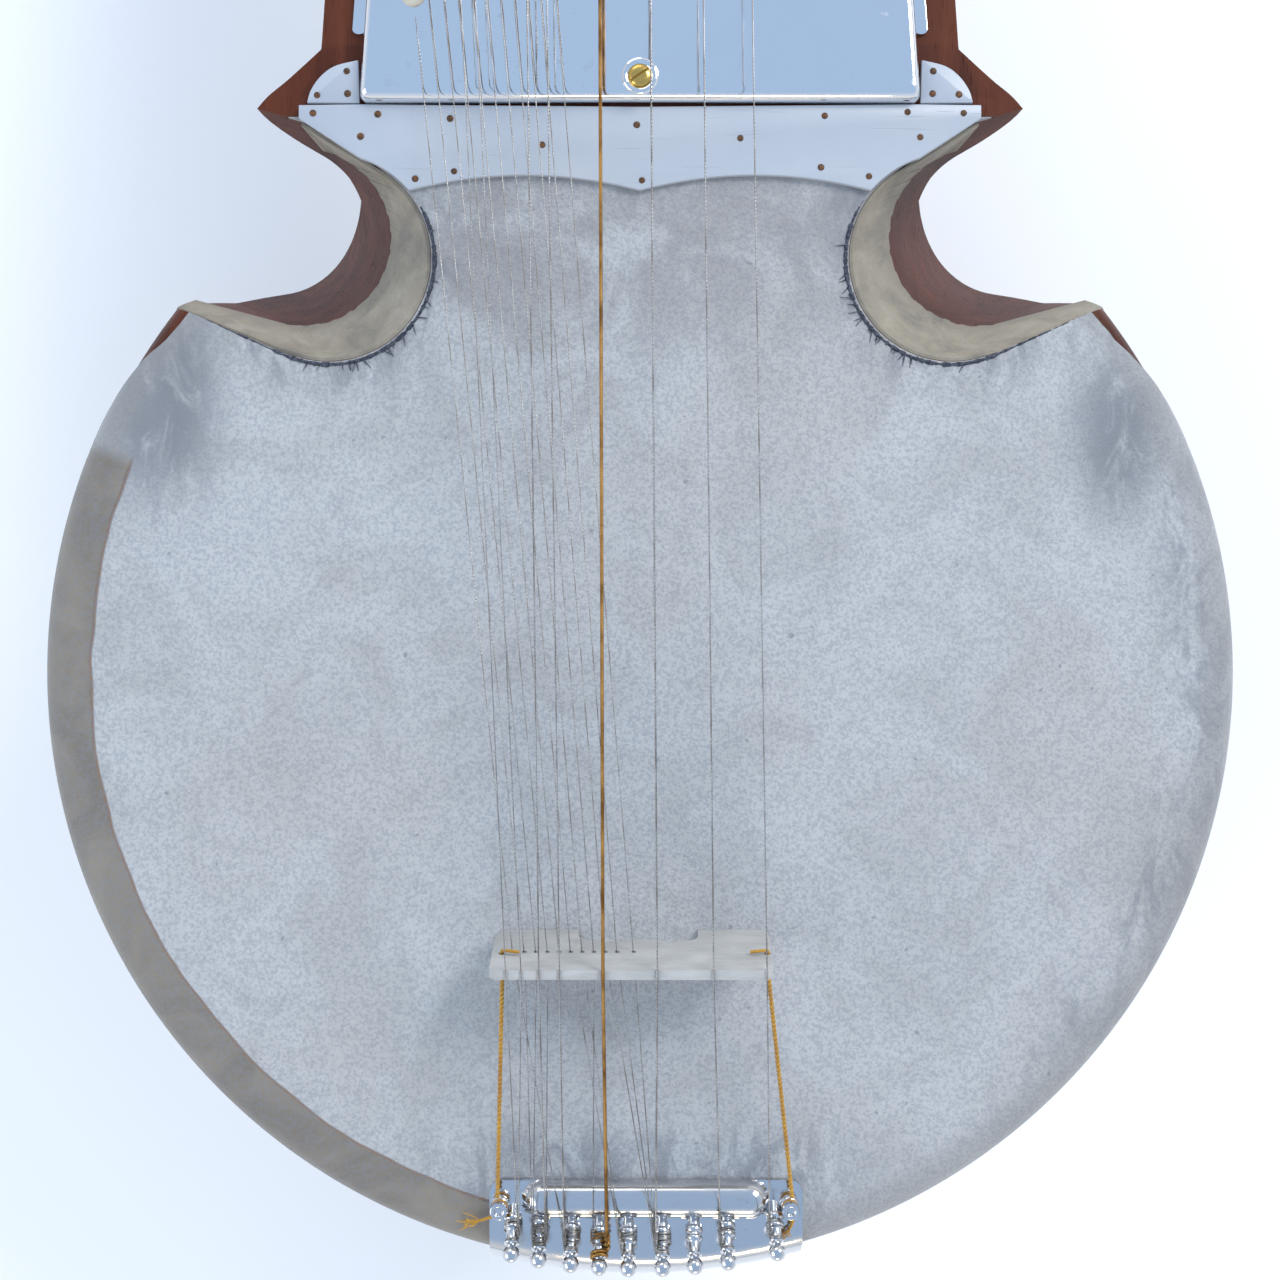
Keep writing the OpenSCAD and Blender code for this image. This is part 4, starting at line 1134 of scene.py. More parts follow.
# ---------------------------------------------------------------- fingerboard
def make_plate(bend):
    """Folded steel plate: a mirror top with rounded bends, its walls, and its turned-out strips."""
    start = PLATE_LOW.y
    front_bend = bend * 1.5
    rows = [(0.0, 0.0), (0.0, 0.35)]
    rows += [(front_bend * (1 - math.cos(math.radians(a))), 0.35 + 0.65 * math.sin(math.radians(a)))
             for a in range(10, 91, 10)]
    span = PLATE_HIGH.y - start - front_bend
    rows += [(front_bend + span * k / 40, 1.0) for k in range(1, 41)]
    grid = []
    for ahead, lift in rows:
        y = start + ahead
        corner = 1.6
        pull = corner - math.sqrt(max(0.0, corner ** 2 - max(0.0, corner - ahead) ** 2))
        w = plate_half(y) - pull
        h = PLATE_TOP - FACE
        section = [(-w, 0.0), (-w, h - bend)]
        section += [(-w + bend * (1 - math.cos(a)), h - bend + bend * math.sin(a))
                    for a in [math.radians(15 * k) for k in range(1, 7)]]
        flat = [(-w + bend + (2 * w - 2 * bend) * k / 20, h) for k in range(1, 20)]
        section += flat + [(-x, z) for x, z in reversed(section)]
        grid.append([Vector((x, y, FACE + 0.02 + z * lift)) for x, z in section])
    sheet = mesh_object("steel_fingerboard", *rings_mesh(grid, closed=False, caps=False))
    thickened(sheet, 1.0)
    strips = []
    for side in (-1, 1):
        ys = [SEAM + 18 + (PLATE_HIGH.y - SEAM - 18) * k / 30 for k in range(31)]
        ring = [(side * (plate_half(y) + 0.05), y) for y in ys]
        outside = [(side * (plate_half(y) + 3.3), y) for y in reversed(ys[1:])]
        lip = [(side * (plate_half(ys[0]) + 1.65 + 1.65 * math.cos(a)), ys[0] + 1.2 - 1.2 * math.sin(a))
               for a in [math.radians(30 * k) for k in range(0, 6)]]
        strips.append(outline_solid(ring + outside + lip, FACE + 0.02, FACE + 1))
    outer = tool(*strips)
    rounded(outer, 0.25)
    reshaped(sheet, lambda shape: shape.from_mesh(outer.data))
    bpy.data.objects.remove(outer)
    smooth(sheet, 40)
    finished(sheet, "mirror_steel", "polished_steel", replaces=["fingerboard_plate"])


def make_plate_screws():
    """Brass screws with a slot, each in a pressed cup."""
    heads, cups, slots = [], [], []
    cup = [(2.45, -1.14), (2.5, -1.12), (2.85, -0.95), (3.3, -0.55), (3.9, -0.45), (4.4, -0.7),
           (4.6, -1.08)]
    for turn, top in zip((0.6, 1.9), tops("plate_screws")):
        place = Matrix.Translation(top)
        heads.append(turned([(1.5, -9), (1.5, -1.1), (2.75, -1.1), (2.7, -0.55), (2.3, -0.2),
                             (1.4, -0.02), (0, 0)], 40, place))
        cups.append(turned(cup, 48, place))
        spin = place @ Matrix.Rotation(turn, 4, "Z")
        points, faces = slab(4, -0.38, 0.38, -0.75, 1)
        slots.append(([spin @ p for p in points], faces))
    screws = mesh_object("plate_screw_heads", *joined(*heads), 40)
    cut(screws, [tool(*slots)])
    smooth(screws, 35)
    finished(screws, "brass", "brass", replaces=["plate_screws"])
    fitted("plate_screw_cups", cups, 50, "mirror_steel", "polished_steel")


def ring_turned(loop, sides, place):
    """Points and faces of a closed profile turned into a ring."""
    rings = [[place @ Vector((r * c, r * s, h)) for c, s in circle_steps(sides)] for r, h in loop]
    points, faces = rings_mesh(rings + [rings[0]], caps=False)
    count = len(loop) * sides
    return points[:count], [tuple(i % count for i in face) for face in faces]


def make_guides():
    """Bone grommets and the two drone posts."""
    loop = [(1.0, -2.4), (1.65, -2.4), (1.65, -1.0), (2.95, -1.0), (3.0, -0.75), (2.75, -0.35),
            (2.3, -0.08), (1.8, 0), (1.35, -0.1), (1.05, -0.45)]
    rings = [ring_turned(loop, 32, Matrix.Translation(top)) for top in tops("string_grommets")]
    fitted("bone_grommets", rings, 50, "ivory_bone", "bone", replaces=["string_grommets"])
    posts = []
    for points in solids("chikari_posts"):
        low, h = low_of(points).z - PLATE_TOP, high_of(points).z - PLATE_TOP
        profile = [(1.5, low), (1.5, 0), (3, 0), (3.05, 0.45), (2.7, 0.9), (1.9, 1.5), (1.6, 2.4),
                   (1.75, 3.0), (2.05, 3.3), (1.75, 3.7), (1.55, 4.4), (1.65, 5.4), (2.2, 6.1),
                   (2.4, 6.7), (2.35, h - 0.7), (1.8, h - 0.2), (0.9, h - 0.02), (0, h)]
        posts.append(turned(profile, 32, Matrix.Translation((*middle(points).xy, PLATE_TOP))))
    fitted("drone_posts", posts, 40, "brass", "brass", replaces=["chikari_posts"])


OVER_STRINGS = ("main_string_1", "main_string_2", "main_string_3", "main_string_4",
                "jod_string_1", "jod_string_2")
DRONES = ("chikari_string_1", "chikari_string_2")


def make_nut():
    depth, h = NUT_HIGH.y - NUT_LOW.y, NUT_HIGH.z - NUT_LOW.z
    side = [(0, 0), (depth, 0), (depth, h - 4), (depth * 0.82, h - 2.2), (depth * 0.52, h - 0.6),
            (depth * 0.3, h), (0.5, h), (0, h - 0.5)]
    rings = [[Vector((x, NUT_LOW.y + y, NUT_LOW.z + z)) for y, z in side]
             for x in [-NUT_HALF + 2 * NUT_HALF * k / 12 for k in range(13)]]
    nut = mesh_object("bone_nut", *rings_mesh(rings))
    rounded(nut, 0.35)
    turn = Matrix.Rotation(-math.pi / 2, 4, "X")
    notches = [rod(0.55, 0, 12, 12, Matrix.Translation(
        (bends_of(node)[1].x, NUT_LOW.y - 3, NUT_HIGH.z + 0.28)) @ turn) for node in OVER_STRINGS]
    cut(nut, [tool(*notches)])
    smooth(nut, 35)
    finished(nut, "ivory_bone", "bone", replaces=["nut"])


class SAROD_OT_fingerboard(bpy.types.Operator):
    """Fold the steel plate and set its screws, grommets, drone posts and nut"""
    bl_idname = "sarod.fingerboard"
    bl_label = "Fingerboard"

    def execute(self, context):
        make_plate(context.scene.sarod_sizes.plate_bend / MM)
        make_plate_screws()
        make_guides()
        make_nut()
        return {"FINISHED"}


# ---------------------------------------------------------------- bridge and its ties
BRIDGE_LEAN = math.radians(9)
BRIDGE_FOOT = 66                 # the feet stand this far below the belly's centre
BRIDGE_H = 25
HOLE_UP = 14                     # height of the string holes along the bridge


def on_bridge():
    return Matrix.Translation((0, -BRIDGE_FOOT, FACE)) @ Matrix.Rotation(BRIDGE_LEAN, 4, "X")


def make_bridge():
    """Filed bone bridge: two feet, an arch with a serrated hump, string holes and notches."""
    left, right = BRIDGE_LOW.x + 0.2, BRIDGE_HIGH.x - 0.3
    arch = 8.0
    under_left, under_right = (spline([(x, z, 0) for x, z in knots], 4) for knots in (
        [(-15.4, 0), (-15.3, 3.6), (-14.4, 5.7), (-12, 7.0), (-9, 7.7)],
        [(8, 7.7), (11, 7.2), (13.3, 6.2), (14.3, 4.2), (14.4, 0)]))
    teeth = []
    for k in range(15):
        x = -7.6 + k * 14.2 / 14
        sag = 1.9 * math.exp(-((x + 0.4) / 4.6) ** 2)
        teeth.append((x, arch - sag - (0.42 if k % 2 else 0.0)))
    low_edge = [(p.x, p.y) for p in under_left] + teeth + [(p.x, p.y) for p in under_right]
    outline = [(left + 1.0, 0), (left + 0.2, 6), (left + 0.6, BRIDGE_H - 1.6), (left + 2.0, BRIDGE_H),
               (right - 3.4, BRIDGE_H), (right - 2.2, BRIDGE_H - 1.4), (right - 1.2, 6),
               (right - 1.6, 0)]
    loop = [(p[0], p[1]) for p in low_edge][::-1] + outline
    place = on_bridge()
    rings = []
    for y in (-1.65, -0.8, 0.8, 1.65):
        rings.append([place @ Vector((x, y * (1 - 0.012 * z), z - 0.15 * (y / 1.65) * (z < 0.1)))
                      for x, z in loop])
    bridge = mesh_object("bone_bridge", *rings_mesh(rings))
    cut(bridge, [tool(slab(60, -90, -40, FACE - 10, FACE + 0.02))])
    rounded(bridge, 0.3)
    turn = Matrix.Rotation(math.pi / 2, 4, "X")
    spots = [(stations(points)[-2].x, HOLE_UP, 0.62, 16) for points in solids("sympathetic_strings")]
    spots += [(max(solids(node)[0], key=lambda p: p.y).x, HOLE_UP + 1, 0.8, 16)
              for node in ("bridge_tie_left", "bridge_tie_right")]
    spots += [(bends_of(node)[-2].x, BRIDGE_H + 0.22, 0.5, 12) for node in OVER_STRINGS + DRONES]
    cut(bridge, [tool(*(rod(r, -8, 8, sides, place @ Matrix.Translation((x, 0, up)) @ turn)
                        for x, up, r, sides in spots))])
    smooth(bridge, 35)
    finished(bridge, "bridge_bone", "bone", replaces=["bridge"])


def frayed(start, heading, count, length, draw):
    """Loose fibres that spread from the end of a cord."""
    fibres = []
    for _ in range(count):
        reach = length * draw.uniform(0.45, 1.0)
        spread = Vector((draw.uniform(-0.55, 0.55), draw.uniform(-0.55, 0.55),
                         draw.uniform(-0.12, 0.25)))
        end = start + (heading + spread).normalized() * reach
        bend = (start + end) / 2 + Vector((draw.uniform(-0.6, 0.6), draw.uniform(-0.6, 0.6),
                                           draw.uniform(0, 0.5)))
        fibres.append(cord(spline([start, bend, end], 4), 0.13, 5))
    return fibres


def make_ties(seed):
    """Twisted cotton cords from the bridge's ends to the tailpiece's screws."""
    draw = random.Random(seed)
    screws = solids("tailpiece_screws")
    place = on_bridge()
    neck_z = FACE + 3.6              # the screws' narrow necks
    for node, screw, side, heading, fibres, reach in (
            ("bridge_tie_left", screws[0], -1, (-1, -0.42, -0.25), 13, 6.5),
            ("bridge_tie_right", screws[1], 1, (-0.35, -1, -0.2), 9, 4.2)):
        heading = Vector(heading)
        points = solids(node)[0]
        x = mean([p for p in points if p.y > high_of(points).y - 1]).x
        last = mean([p for p in points if p.y < low_of(points).y + 1.5])
        hole = place @ Vector((x, -1.7, HOLE_UP + 1))
        front = place @ Vector((x, 1.9, HOLE_UP + 1))
        path = [front, hole, hole + (last - hole) * 0.5, last]
        strands = [cord(helix(path, 0.3, 2.3, start, 12), 0.3, 7) for start in (0, math.pi)]
        at = middle(screw)
        for turn_z in (-0.55, 0.2, 0.9):
            loop = [Vector((at.x + 1.75 * math.cos(a), at.y + 1.75 * math.sin(a),
                            neck_z + turn_z + 0.25 * math.sin(a + turn_z)))
                    for a in [2 * math.pi * k / 20 for k in range(21)]]
            strands.append(cord(loop, 0.34, 7))
        knot = Vector((at.x + side * 1.2, at.y - 2.0, neck_z))
        tail = [Vector((at.x, at.y - 1.9, neck_z)), knot + heading * 1.2, knot + heading * 3.4]
        strands.append(cord(spline(tail, 5), 0.4, 7))
        strands += frayed(tail[-1], heading, fibres, reach, draw)
        # the cord comes through the bridge and is caught by a short loop on its front
        bow = [front] + [place @ Vector((x - side * dx, y, HOLE_UP + up))
                         for dx, y, up in ((0.2, 2.25, 1.4), (2.3, 2.5, 2.4), (4.2, 2.15, 2.2))]
        strands.append(cord(spline(bow, 5), 0.42, 7))
        fitted(node + "_cord", strands, 60, "cotton", "yellow_cord", replaces=[node])


class SAROD_OT_bridge(bpy.types.Operator):
    """File the bone bridge and tie it to the tailpiece"""
    bl_idname = "sarod.bridge"
    bl_label = "Bridge and ties"

    def execute(self, context):
        make_bridge()
        make_ties(context.scene.sarod_sizes.seed + 4)
        return {"FINISHED"}


# ---------------------------------------------------------------- tailpiece
POST_TILT = math.radians(40)
INTO_WOOD = Vector((0, math.cos(POST_TILT), -math.sin(POST_TILT)))
UP_POST = Vector((0, math.sin(POST_TILT), math.cos(POST_TILT)))
BALL_R = 2.1


def post_balls():
    """Middle of each tailpiece post's ball, from the bass side to the treble side."""
    return [Vector((middle(points).x, low_of(points).y + BALL_R, high_of(points).z - BALL_R))
            for points in solids("tailpiece_posts")]


def make_tailpiece():
    """Pressed chrome plate bent over the rim, with a raised round-ended ridge."""
    left, right = TAIL_LOW.x, TAIL_HIGH.x
    centre = (left + right) / 2
    top_y = -126.5
    thick = 1.5
    flat_r = BELLY_R - RIM_ROUND - 0.5
    bend = [(flat_r + (BELLY_R + thick - 0.1 - flat_r) * math.sin(a),
             FACE - 13 + (13 + thick) * math.cos(a)) for a in [math.radians(9 * k) for k in range(11)]]
    low_z = TAIL_LOW.z
    drop = bend + [(BELLY_R + thick - 0.1, FACE - 13 + (low_z - FACE + 13) * k / 4) for k in range(1, 5)]
    columns, flat_rows = 96, 44
    grid = []
    half = (right - left) / 2
    ridge_half = half - 8.5
    ridge_y, ridge_w, ridge_h = top_y - 4.7, 4.6, 3.5
    for i in range(columns + 1):
        x = left + (right - left) * i / columns
        inset = min(x - left, right - x)
        round_off = 3.0 - math.sqrt(max(0.0, 9.0 - max(0.0, 3.0 - inset) ** 2))
        start, end = top_y - round_off, -math.sqrt(flat_r ** 2 - x * x)
        column = []
        for k in range(flat_rows + 1):
            y = start + (end - start) * (k / flat_rows) ** 1.15
            end_share = max(0.0, (abs(x - centre) - (ridge_half - ridge_w)) / ridge_w)
            q = ((y - ridge_y) / ridge_w) ** 2 + end_share ** 2
            dip = 0.35 * math.exp(-((math.sqrt(q) - 1.1) / 0.22) ** 2) if q < 3 else 0.0
            lift = ridge_h * max(0.0, 1 - q) ** 0.62 - dip
            column.append(Vector((x, y, FACE + thick + lift)))
        for k, (r, z) in enumerate(drop[1:]):
            tuck = round_off * (k / (len(drop) - 2)) ** 3
            column.append(Vector((x, -math.sqrt(r * r - x * x), z + tuck)))
        grid.append(column)
    plate = mesh_object("chrome_tailpiece", *rings_mesh(grid, closed=False, caps=False))
    thickened(plate, 1.35)
    smooth(plate, 50)
    finished(plate, "chrome", "chrome", replaces=["tailpiece"])


def make_tail_hardware():
    """Ring-headed screws and nine posts with ringed barrels and balls."""
    profile = [(1.25, -12), (1.25, -4.8), (2.2, -4.8), (2.3, -4.5), (2.0, -3.95), (1.4, -3.7),
               (1.25, -3.3), (1.25, -2.2), (1.5, -1.8), (2.1, -1.6), (2.25, -1.2), (2.25, -0.6),
               (2.05, -0.15), (1.7, 0), (1.2, -0.05), (0.95, -0.3), (0.85, -0.75), (0, -0.8)]
    screws = [turned(profile, 40, Matrix.Translation(top)) for top in tops("tailpiece_screws")]
    fitted("tailpiece_ring_screws", screws, 40, "chrome", "chrome", replaces=["tailpiece_screws"])
    post = [(BALL_R * math.sin(math.radians(a)), -BALL_R * math.cos(math.radians(a)))
            for a in range(0, 145, 9)]
    post += [(1.05, 1.95), (1.35, 2.1), (1.85, 2.3), (1.95, 2.6), (1.75, 2.9), (1.45, 3.1), (1.4, 3.8),
             (1.4, 5.3), (1.5, 5.6), (1.95, 5.85), (2.1, 6.2), (2.1, 6.6), (1.9, 6.9), (1.55, 7.05),
             (1.55, 7.5), (1.9, 7.7), (2.15, 8.1), (2.2, 8.8), (1.95, 9.2), (1.5, 9.4), (1.5, 15.5)]
    turn = Vector((0, 0, 1)).rotation_difference(INTO_WOOD).to_matrix().to_4x4()
    posts = [turned(post, 36, Matrix.Translation(ball) @ turn) for ball in post_balls()]
    fitted("tailpiece_ringed_posts", posts, 45, "chrome", "chrome", replaces=["tailpiece_posts"])


class SAROD_OT_tailpiece(bpy.types.Operator):
    """Press the chrome tailpiece and set its screws and posts"""
    bl_idname = "sarod.tailpiece"
    bl_label = "Tailpiece"

    def execute(self, context):
        make_tailpiece()
        make_tail_hardware()
        return {"FINISHED"}


# ---------------------------------------------------------------- strings
def string_run(points):
    """Bends of one string from its peg to its tail post, the post, and how far along it the loop is."""
    bends = stations(points)
    loop = bends.pop()
    ball = min(post_balls(), key=lambda b: abs(b.x - loop.x))
    along = (loop - ball).dot(INTO_WOOD)
    return bends, ball, max(3.4, min(5.0, along))


def tail_loop(bends, ball, along, r):
    """Points of a string's turns round its post, from the side where it arrives."""
    side = -1 if bends[-1].x < ball.x else 1
    reach = 1.45 + r
    points = []
    for k in range(34):
        a = math.radians(20 * k)
        at = ball + INTO_WOOD * (along - 2 * r * k / 18)
        points.append(at + reach * (math.cos(a) * Vector((side, 0, 0)) + math.sin(a) * UP_POST))
    return points


def make_string(name, points, r, finish, draw, sides, **riding):
    """One string with its turns round the tail post and the twist in front of it."""
    bends, ball, along = string_run(points)
    loop = tail_loop(bends, ball, along, r)
    shapes = [cord(bends + loop, r, sides)]
    towards = (bends[-1] - loop[0]).normalized()
    twist = [loop[0] + towards * 0.5, loop[0] + towards * draw.uniform(4.5, 7.5)]
    shapes.append(cord(helix(twist, r + 0.16, max(0.7, 3.2 * r), draw.uniform(0, 6), 9),
                       max(0.13, r * 0.8), 6))
    tip = twist[1] + Vector((draw.uniform(-0.8, 0.8), draw.uniform(-0.3, 0.9), draw.uniform(0.3, 1.0)))
    bend = (twist[1] + tip) / 2 + Vector((0.1, 0, 0.15))
    shapes.append(cord([twist[1], bend, tip], max(0.12, r * 0.7), 6))
    # loose turns of the tail end round the post's barrel
    axis = [ball + INTO_WOOD * 5.4, ball + INTO_WOOD * (7.4 + draw.uniform(0, 0.8))]
    shapes.append(cord(helix(axis, 2.0 + draw.uniform(0, 0.2), draw.uniform(0.6, 1.0),
                             draw.uniform(0, 6), 14), max(0.14, r * 0.75), 6))
    fitted(name, shapes, 60, finish, finish, **riding)


def wire_of(name):
    """Finish of a string, or of the winding on its peg; only the first main string is bronze."""
    return "bronze_wire" if name in ("main_string_1", "main_peg_1") else "steel_wire"


def make_strings(seed):
    draw = random.Random(seed)
    for node in OVER_STRINGS + DRONES:
        points = [p for group in solids(node) for p in group]
        start = stations(points)[1]
        ring = [p for p in points if abs(p.y - start.y) < 1.2]
        r = (high_of(ring).x - low_of(ring).x) / 2
        make_string(node + "_wire", points, r, wire_of(node), draw, 10, replaces=[node])
    for i, points in enumerate(solids("sympathetic_strings")):
        make_string(f"sympathetic_string_{i + 1}_wire", points, 0.14, "steel_wire", draw, 6,
                    replaces=[] if i else ["sympathetic_strings"])


class SAROD_OT_strings(bpy.types.Operator):
    """String the instrument and twist each string off at its post"""
    bl_idname = "sarod.strings"
    bl_label = "Strings"

    def execute(self, context):
        make_strings(context.scene.sarod_sizes.seed + 5)
        return {"FINISHED"}


# ---------------------------------------------------------------- pegs
def peg_profile(shaft_r, head_r, head_len, shaft_len):
    """Turned peg as (radius, height): button, head, beads and shaft."""
    n, r = head_len, head_r
    knots = [(r * 0.20, -n - 1.9), (r * 0.27, -n - 1.1), (r * 0.22, -n - 0.2), (r * 0.34, -n + 0.5),
             (r * 0.66, -n + 1.6), (r * 0.88, -n * 0.86), (r * 0.99, -n * 0.70), (r, -n * 0.60),
             (r * 0.96, -n * 0.46), (r * 0.80, -n * 0.33), (r * 0.56, -n * 0.25), (r * 0.47, -n * 0.215),
             (r * 0.55, -n * 0.195), (r * 0.55, -n * 0.175), (r * 0.44, -n * 0.15),
             (shaft_r + 1.5, -n * 0.12), (shaft_r + 2.3, -n * 0.095), (shaft_r + 2.5, -n * 0.06),
             (shaft_r + 2.3, -n * 0.02), (shaft_r + 1.9, 0)]
    curve = [(p.x, p.y) for p in spline([(a, b, 0) for a, b in knots], 3)]
    return ([(0, -n - 2)] + curve + [(shaft_r, 0.02), (shaft_r, shaft_len - 0.9),
                                     (shaft_r - 0.3, shaft_len - 0.25), (shaft_r - 0.9, shaft_len),
                                     (0, shaft_len)])


def make_peg(name, wind_x, wire_r):
    """One peg and the string wound on it at wind_x, riding on the peg's own body."""
    low, high = mm_box(name)
    spot = joint_spot(next(joint for joint in frame["joints"] if joint["child"] == name))
    side = 1 if spot.x > 0 else -1
    main = name in MAIN_PEGS
    shaft_r = MAIN_SHAFT_R if main else SIDE_SHAFT_R
    head_len = 34 if main else (26 if name.startswith("chikari") else 22)
    start = side * (high.x if side > 0 else low.x) - head_len - 2
    shaft_len = start + (-low.x if side > 0 else high.x)
    place = (Matrix.Translation((side * start, spot.y, spot.z))
             @ Matrix.Rotation(-side * math.pi / 2, 4, "Y"))
    profile = peg_profile(shaft_r, (high.z - low.z) / 2, head_len, shaft_len)
    points, faces = turned(profile, 72, place)
    back = place.inverted()
    flutes = 8 if main else 6
    for i, point in enumerate(points):
        at = back @ point
        share = max(0.0, 1 - ((at.z + head_len * 0.6) / (head_len * 0.36)) ** 2)
        if share > 0:
            turn = math.atan2(at.y, at.x)
            pinch = 1 - 0.055 * share * (0.5 + 0.5 * math.cos(flutes * turn)) ** 2
            points[i] = place @ Vector((at.x * pinch, at.y * pinch, at.z))
    fitted(name + "_turned", [(points, faces)], 40, "peg_wood", "peg_wood", body=name,
           replaces=[name])
    half = 3.0 if main else 2.5
    coils = []
    for first, last, lift, pitch, turn in ((-half, half, 0.9, 2.15, 0.5),
                                           (half - half * 0.4, -half + half * 0.5, 2.5, 2.6, 1.0)):
        axis = [Vector((wind_x + x, spot.y, spot.z)) for x in (first, last)]
        coils.append(cord(helix(axis, shaft_r + wire_r * lift, wire_r * pitch, turn, 18), wire_r, 6))
    fitted(name + "_winding", coils, 60, wire_of(name), wire_of(name), body=name)


def make_pegs():
    ends = {peg: bends_of(node)[0].x
            for peg, node in zip(MAIN_PEGS + SIDE_PEGS[:2], OVER_STRINGS + DRONES)}
    side_ends = sorted((stations(points)[0] for points in solids("sympathetic_strings")),
                       key=lambda p: p.y)
    ends.update(zip(SIDE_PEGS[2:], (end.x for end in side_ends)))
    for name in MAIN_PEGS + SIDE_PEGS:
        wire_r = 0.42 if name == "main_peg_1" else (0.24 if name in MAIN_PEGS else 0.18)
        make_peg(name, ends[name], wire_r)


class SAROD_OT_pegs(bpy.types.Operator):
    """Turn the nineteen pegs and wind their strings on"""
    bl_idname = "sarod.pegs"
    bl_label = "Pegs"

    def execute(self, context):
        make_pegs()
        return {"FINISHED"}


# ---------------------------------------------------------------- stage
def area_light(name, at, aim, power, width, height, colour):
    light = bpy.data.lights.new(name, "AREA")
    light.shape = "RECTANGLE"
    light.size, light.size_y = width, height
    light.energy = power
    light.color = colour
    lamp = linked(name, light)
    lamp.location = at
    lamp.rotation_euler = (Vector(aim) - Vector(at)).to_track_quat("-Z", "Y").to_euler()


def make_stage(stage):
    """Pale floor, soft light from a blue-white sky and four panels, and the camera over the belly."""
    size, low = 60000, -0.2
    floor = mesh_object("floor", [(-size, -size, low), (size, -size, low), (size, size, low),
                                  (-size, size, low)], [(0, 1, 2, 3)])
    paper = Material("floor_paper")
    tone = paper.mix(paper.noise(300.0, 2.0) * 0.5, (0.93, 0.93, 0.93), (0.90, 0.90, 0.90))
    floor.data.materials.append(paper.finish(tone, 0.9))

    sky = Bench(bpy.data.worlds.new("soft_sky"))
    bpy.context.scene.world = sky.owner
    way = sky.node("ShaderNodeTexCoord", {}, {}, "Generated")
    up = sky.node("ShaderNodeSeparateXYZ", {}, {0: way}, 2)
    colour = sky.ramp(up, (0.0, (1.0, 1.0, 1.0)), (0.75, tuple(stage.sky)))
    glow = sky.node("ShaderNodeBackground", {}, {"Color": colour, "Strength": stage.sky_strength})
    sky.node("ShaderNodeOutputWorld", {}, {"Surface": glow})

    white, belly = (1.0, 1.0, 1.0), (0, 0.1, 0.15)
    for name, at, aim, share, width, height, colour in (
            ("key_panel", (1.25, 1.15, 1.5), belly, 1.0, 0.8, 0.8, (1.0, 0.97, 0.92)),
            ("fill_panel", (-1.5, -0.5, 1.2), belly, 0.4, 1.2, 1.0, white),
            ("warm_panel", (0.1, -1.5, 0.7), (0, -0.12, 0.19), 0.15, 0.5, 0.2, (1.0, 0.78, 0.45)),
            ("head_panel", (-0.5, 2.2, 1.1), (0, 0.5, 0.15), 0.3, 1.2, 0.8, white)):
        area_light(name, at, aim, stage.key_power * share, width, height, colour)

    bpy.context.scene.view_settings.view_transform = "Standard"
    camera = bpy.data.cameras.new("camera")
    camera.sensor_width = 36
    camera.lens = camera.sensor_width * stage.camera_height / stage.view_width
    camera.clip_start = 0.01
    eye = linked("camera", camera)
    eye.location = (0, 0.008, FACE * MM + stage.camera_height)
    bpy.context.scene.camera = eye


class SAROD_OT_stage(bpy.types.Operator):
    """Set up the floor, the soft light and the camera"""
    bl_idname = "sarod.stage"
    bl_label = "Stage"

    def execute(self, context):
        make_stage(context.scene.sarod_stage)
        return {"FINISHED"}


# ---------------------------------------------------------------- settings and panel
class SarodSizes(bpy.types.PropertyGroup):
    seed: bpy.props.IntProperty(name="Seed", description="Start of the random draws", default=11, min=0)
    plate_bend: bpy.props.FloatProperty(
        name="Plate bend", description="Radius of the steel plate's folds", default=2.2 * MM,
        min=1.2 * MM, max=3.5 * MM, unit="LENGTH", subtype="DISTANCE", precision=4)


class SarodColours(bpy.types.PropertyGroup):
    wood: bpy.props.FloatVectorProperty(name="Wood", description="Middle tone of the body's wood",
                                        default=(0.078, 0.021, 0.011), subtype="COLOR", min=0, max=1)
    skin: bpy.props.FloatVectorProperty(name="Skin", description="Clean goatskin",
                                        default=(0.44, 0.45, 0.46), subtype="COLOR", min=0, max=1)
    # the stain colour also paints the shade above the tailpiece
    stain_and_shade: bpy.props.FloatVectorProperty(name="Stain", description="Blue-grey soaking in the skin",
                                         default=(0.125, 0.135, 0.155), subtype="COLOR", min=0, max=1)
    steel: bpy.props.FloatVectorProperty(name="Steel", description="Fingerboard plate",
                                         default=(0.78, 0.79, 0.81), subtype="COLOR", min=0, max=1)
    bronze: bpy.props.FloatVectorProperty(name="Bronze", description="Wound bass string",
                                          default=(0.42, 0.23, 0.07), subtype="COLOR", min=0, max=1)


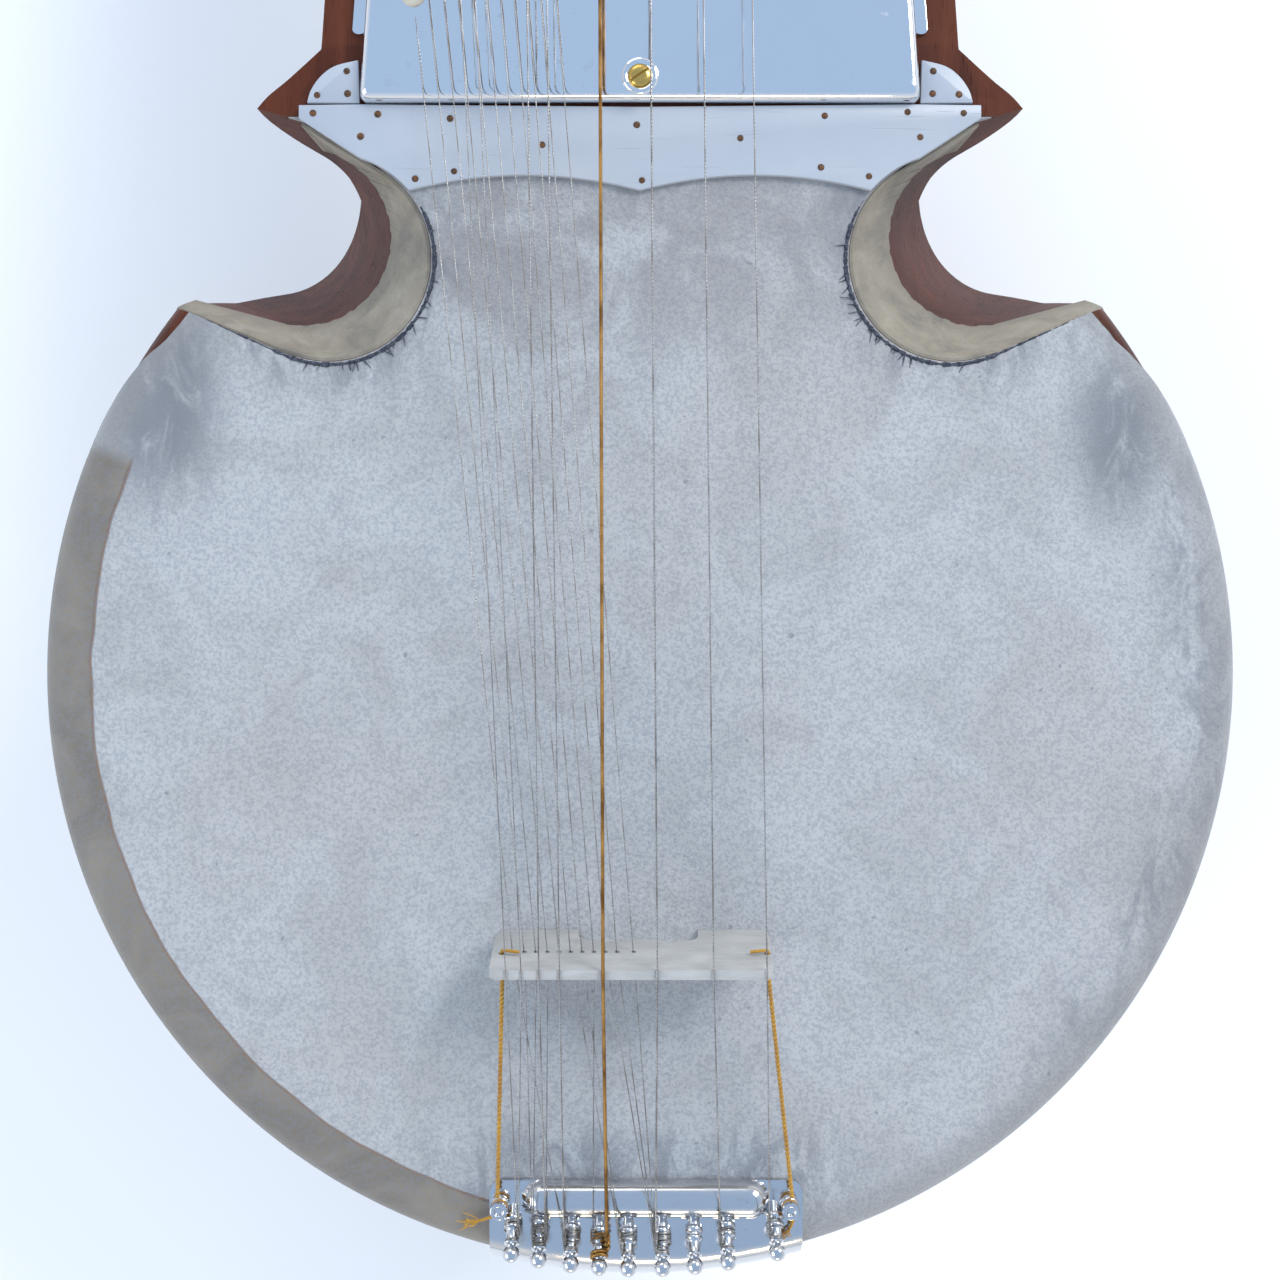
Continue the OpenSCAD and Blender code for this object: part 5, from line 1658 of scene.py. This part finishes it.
class SarodStage(bpy.types.PropertyGroup):
    camera_height: bpy.props.FloatProperty(name="Camera height", description="Camera above the face",
                                           default=0.35, min=0.1, unit="LENGTH", subtype="DISTANCE")
    view_width: bpy.props.FloatProperty(name="View width", description="Width of the face in view",
                                        default=0.32, min=0.05, unit="LENGTH", subtype="DISTANCE")
    key_power: bpy.props.FloatProperty(name="Key light", description="Power of the main panel",
                                       default=30.0, min=0, unit="POWER")
    sky: bpy.props.FloatVectorProperty(name="Sky", description="Colour of the light overhead",
                                       default=(0.48, 0.65, 0.90), subtype="COLOR", min=0, max=1)
    sky_strength: bpy.props.FloatProperty(name="Sky strength",
                                          description="Strength of the soft sky light",
                                          default=1.0, min=0)


OPERATORS = (SAROD_OT_stage, SAROD_OT_body, SAROD_OT_skin, SAROD_OT_apron, SAROD_OT_fingerboard,
             SAROD_OT_bridge, SAROD_OT_tailpiece, SAROD_OT_strings, SAROD_OT_pegs)
GROUPS = (("sarod_sizes", SarodSizes), ("sarod_colours", SarodColours), ("sarod_stage", SarodStage))


class SAROD_PT_panel(bpy.types.Panel):
    """Steps and settings of the sarod"""
    bl_idname = "SAROD_PT_panel"
    bl_label = "Sarod"
    bl_space_type = "VIEW_3D"
    bl_region_type = "UI"
    bl_category = "Sarod"

    def draw(self, context):
        for operator in OPERATORS:
            self.layout.operator(operator.bl_idname)
        for name, group in GROUPS:
            box = self.layout.box()
            for key in group.__annotations__:
                box.prop(getattr(context.scene, name), key)


def register():
    for _, group in GROUPS:
        bpy.utils.register_class(group)
    for operator in OPERATORS:
        bpy.utils.register_class(operator)
    bpy.utils.register_class(SAROD_PT_panel)
    for name, group in GROUPS:
        setattr(bpy.types.Scene, name, bpy.props.PointerProperty(type=group))


def unregister():
    for name, _ in GROUPS:
        delattr(bpy.types.Scene, name)
    bpy.utils.unregister_class(SAROD_PT_panel)
    for operator in reversed(OPERATORS):
        bpy.utils.unregister_class(operator)
    for _, group in reversed(GROUPS):
        bpy.utils.unregister_class(group)


def main():
    register()
    for operator in OPERATORS:
        getattr(bpy.ops.sarod, operator.bl_idname.split(".")[1])()
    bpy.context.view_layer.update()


if __name__ == "__main__":
    main()
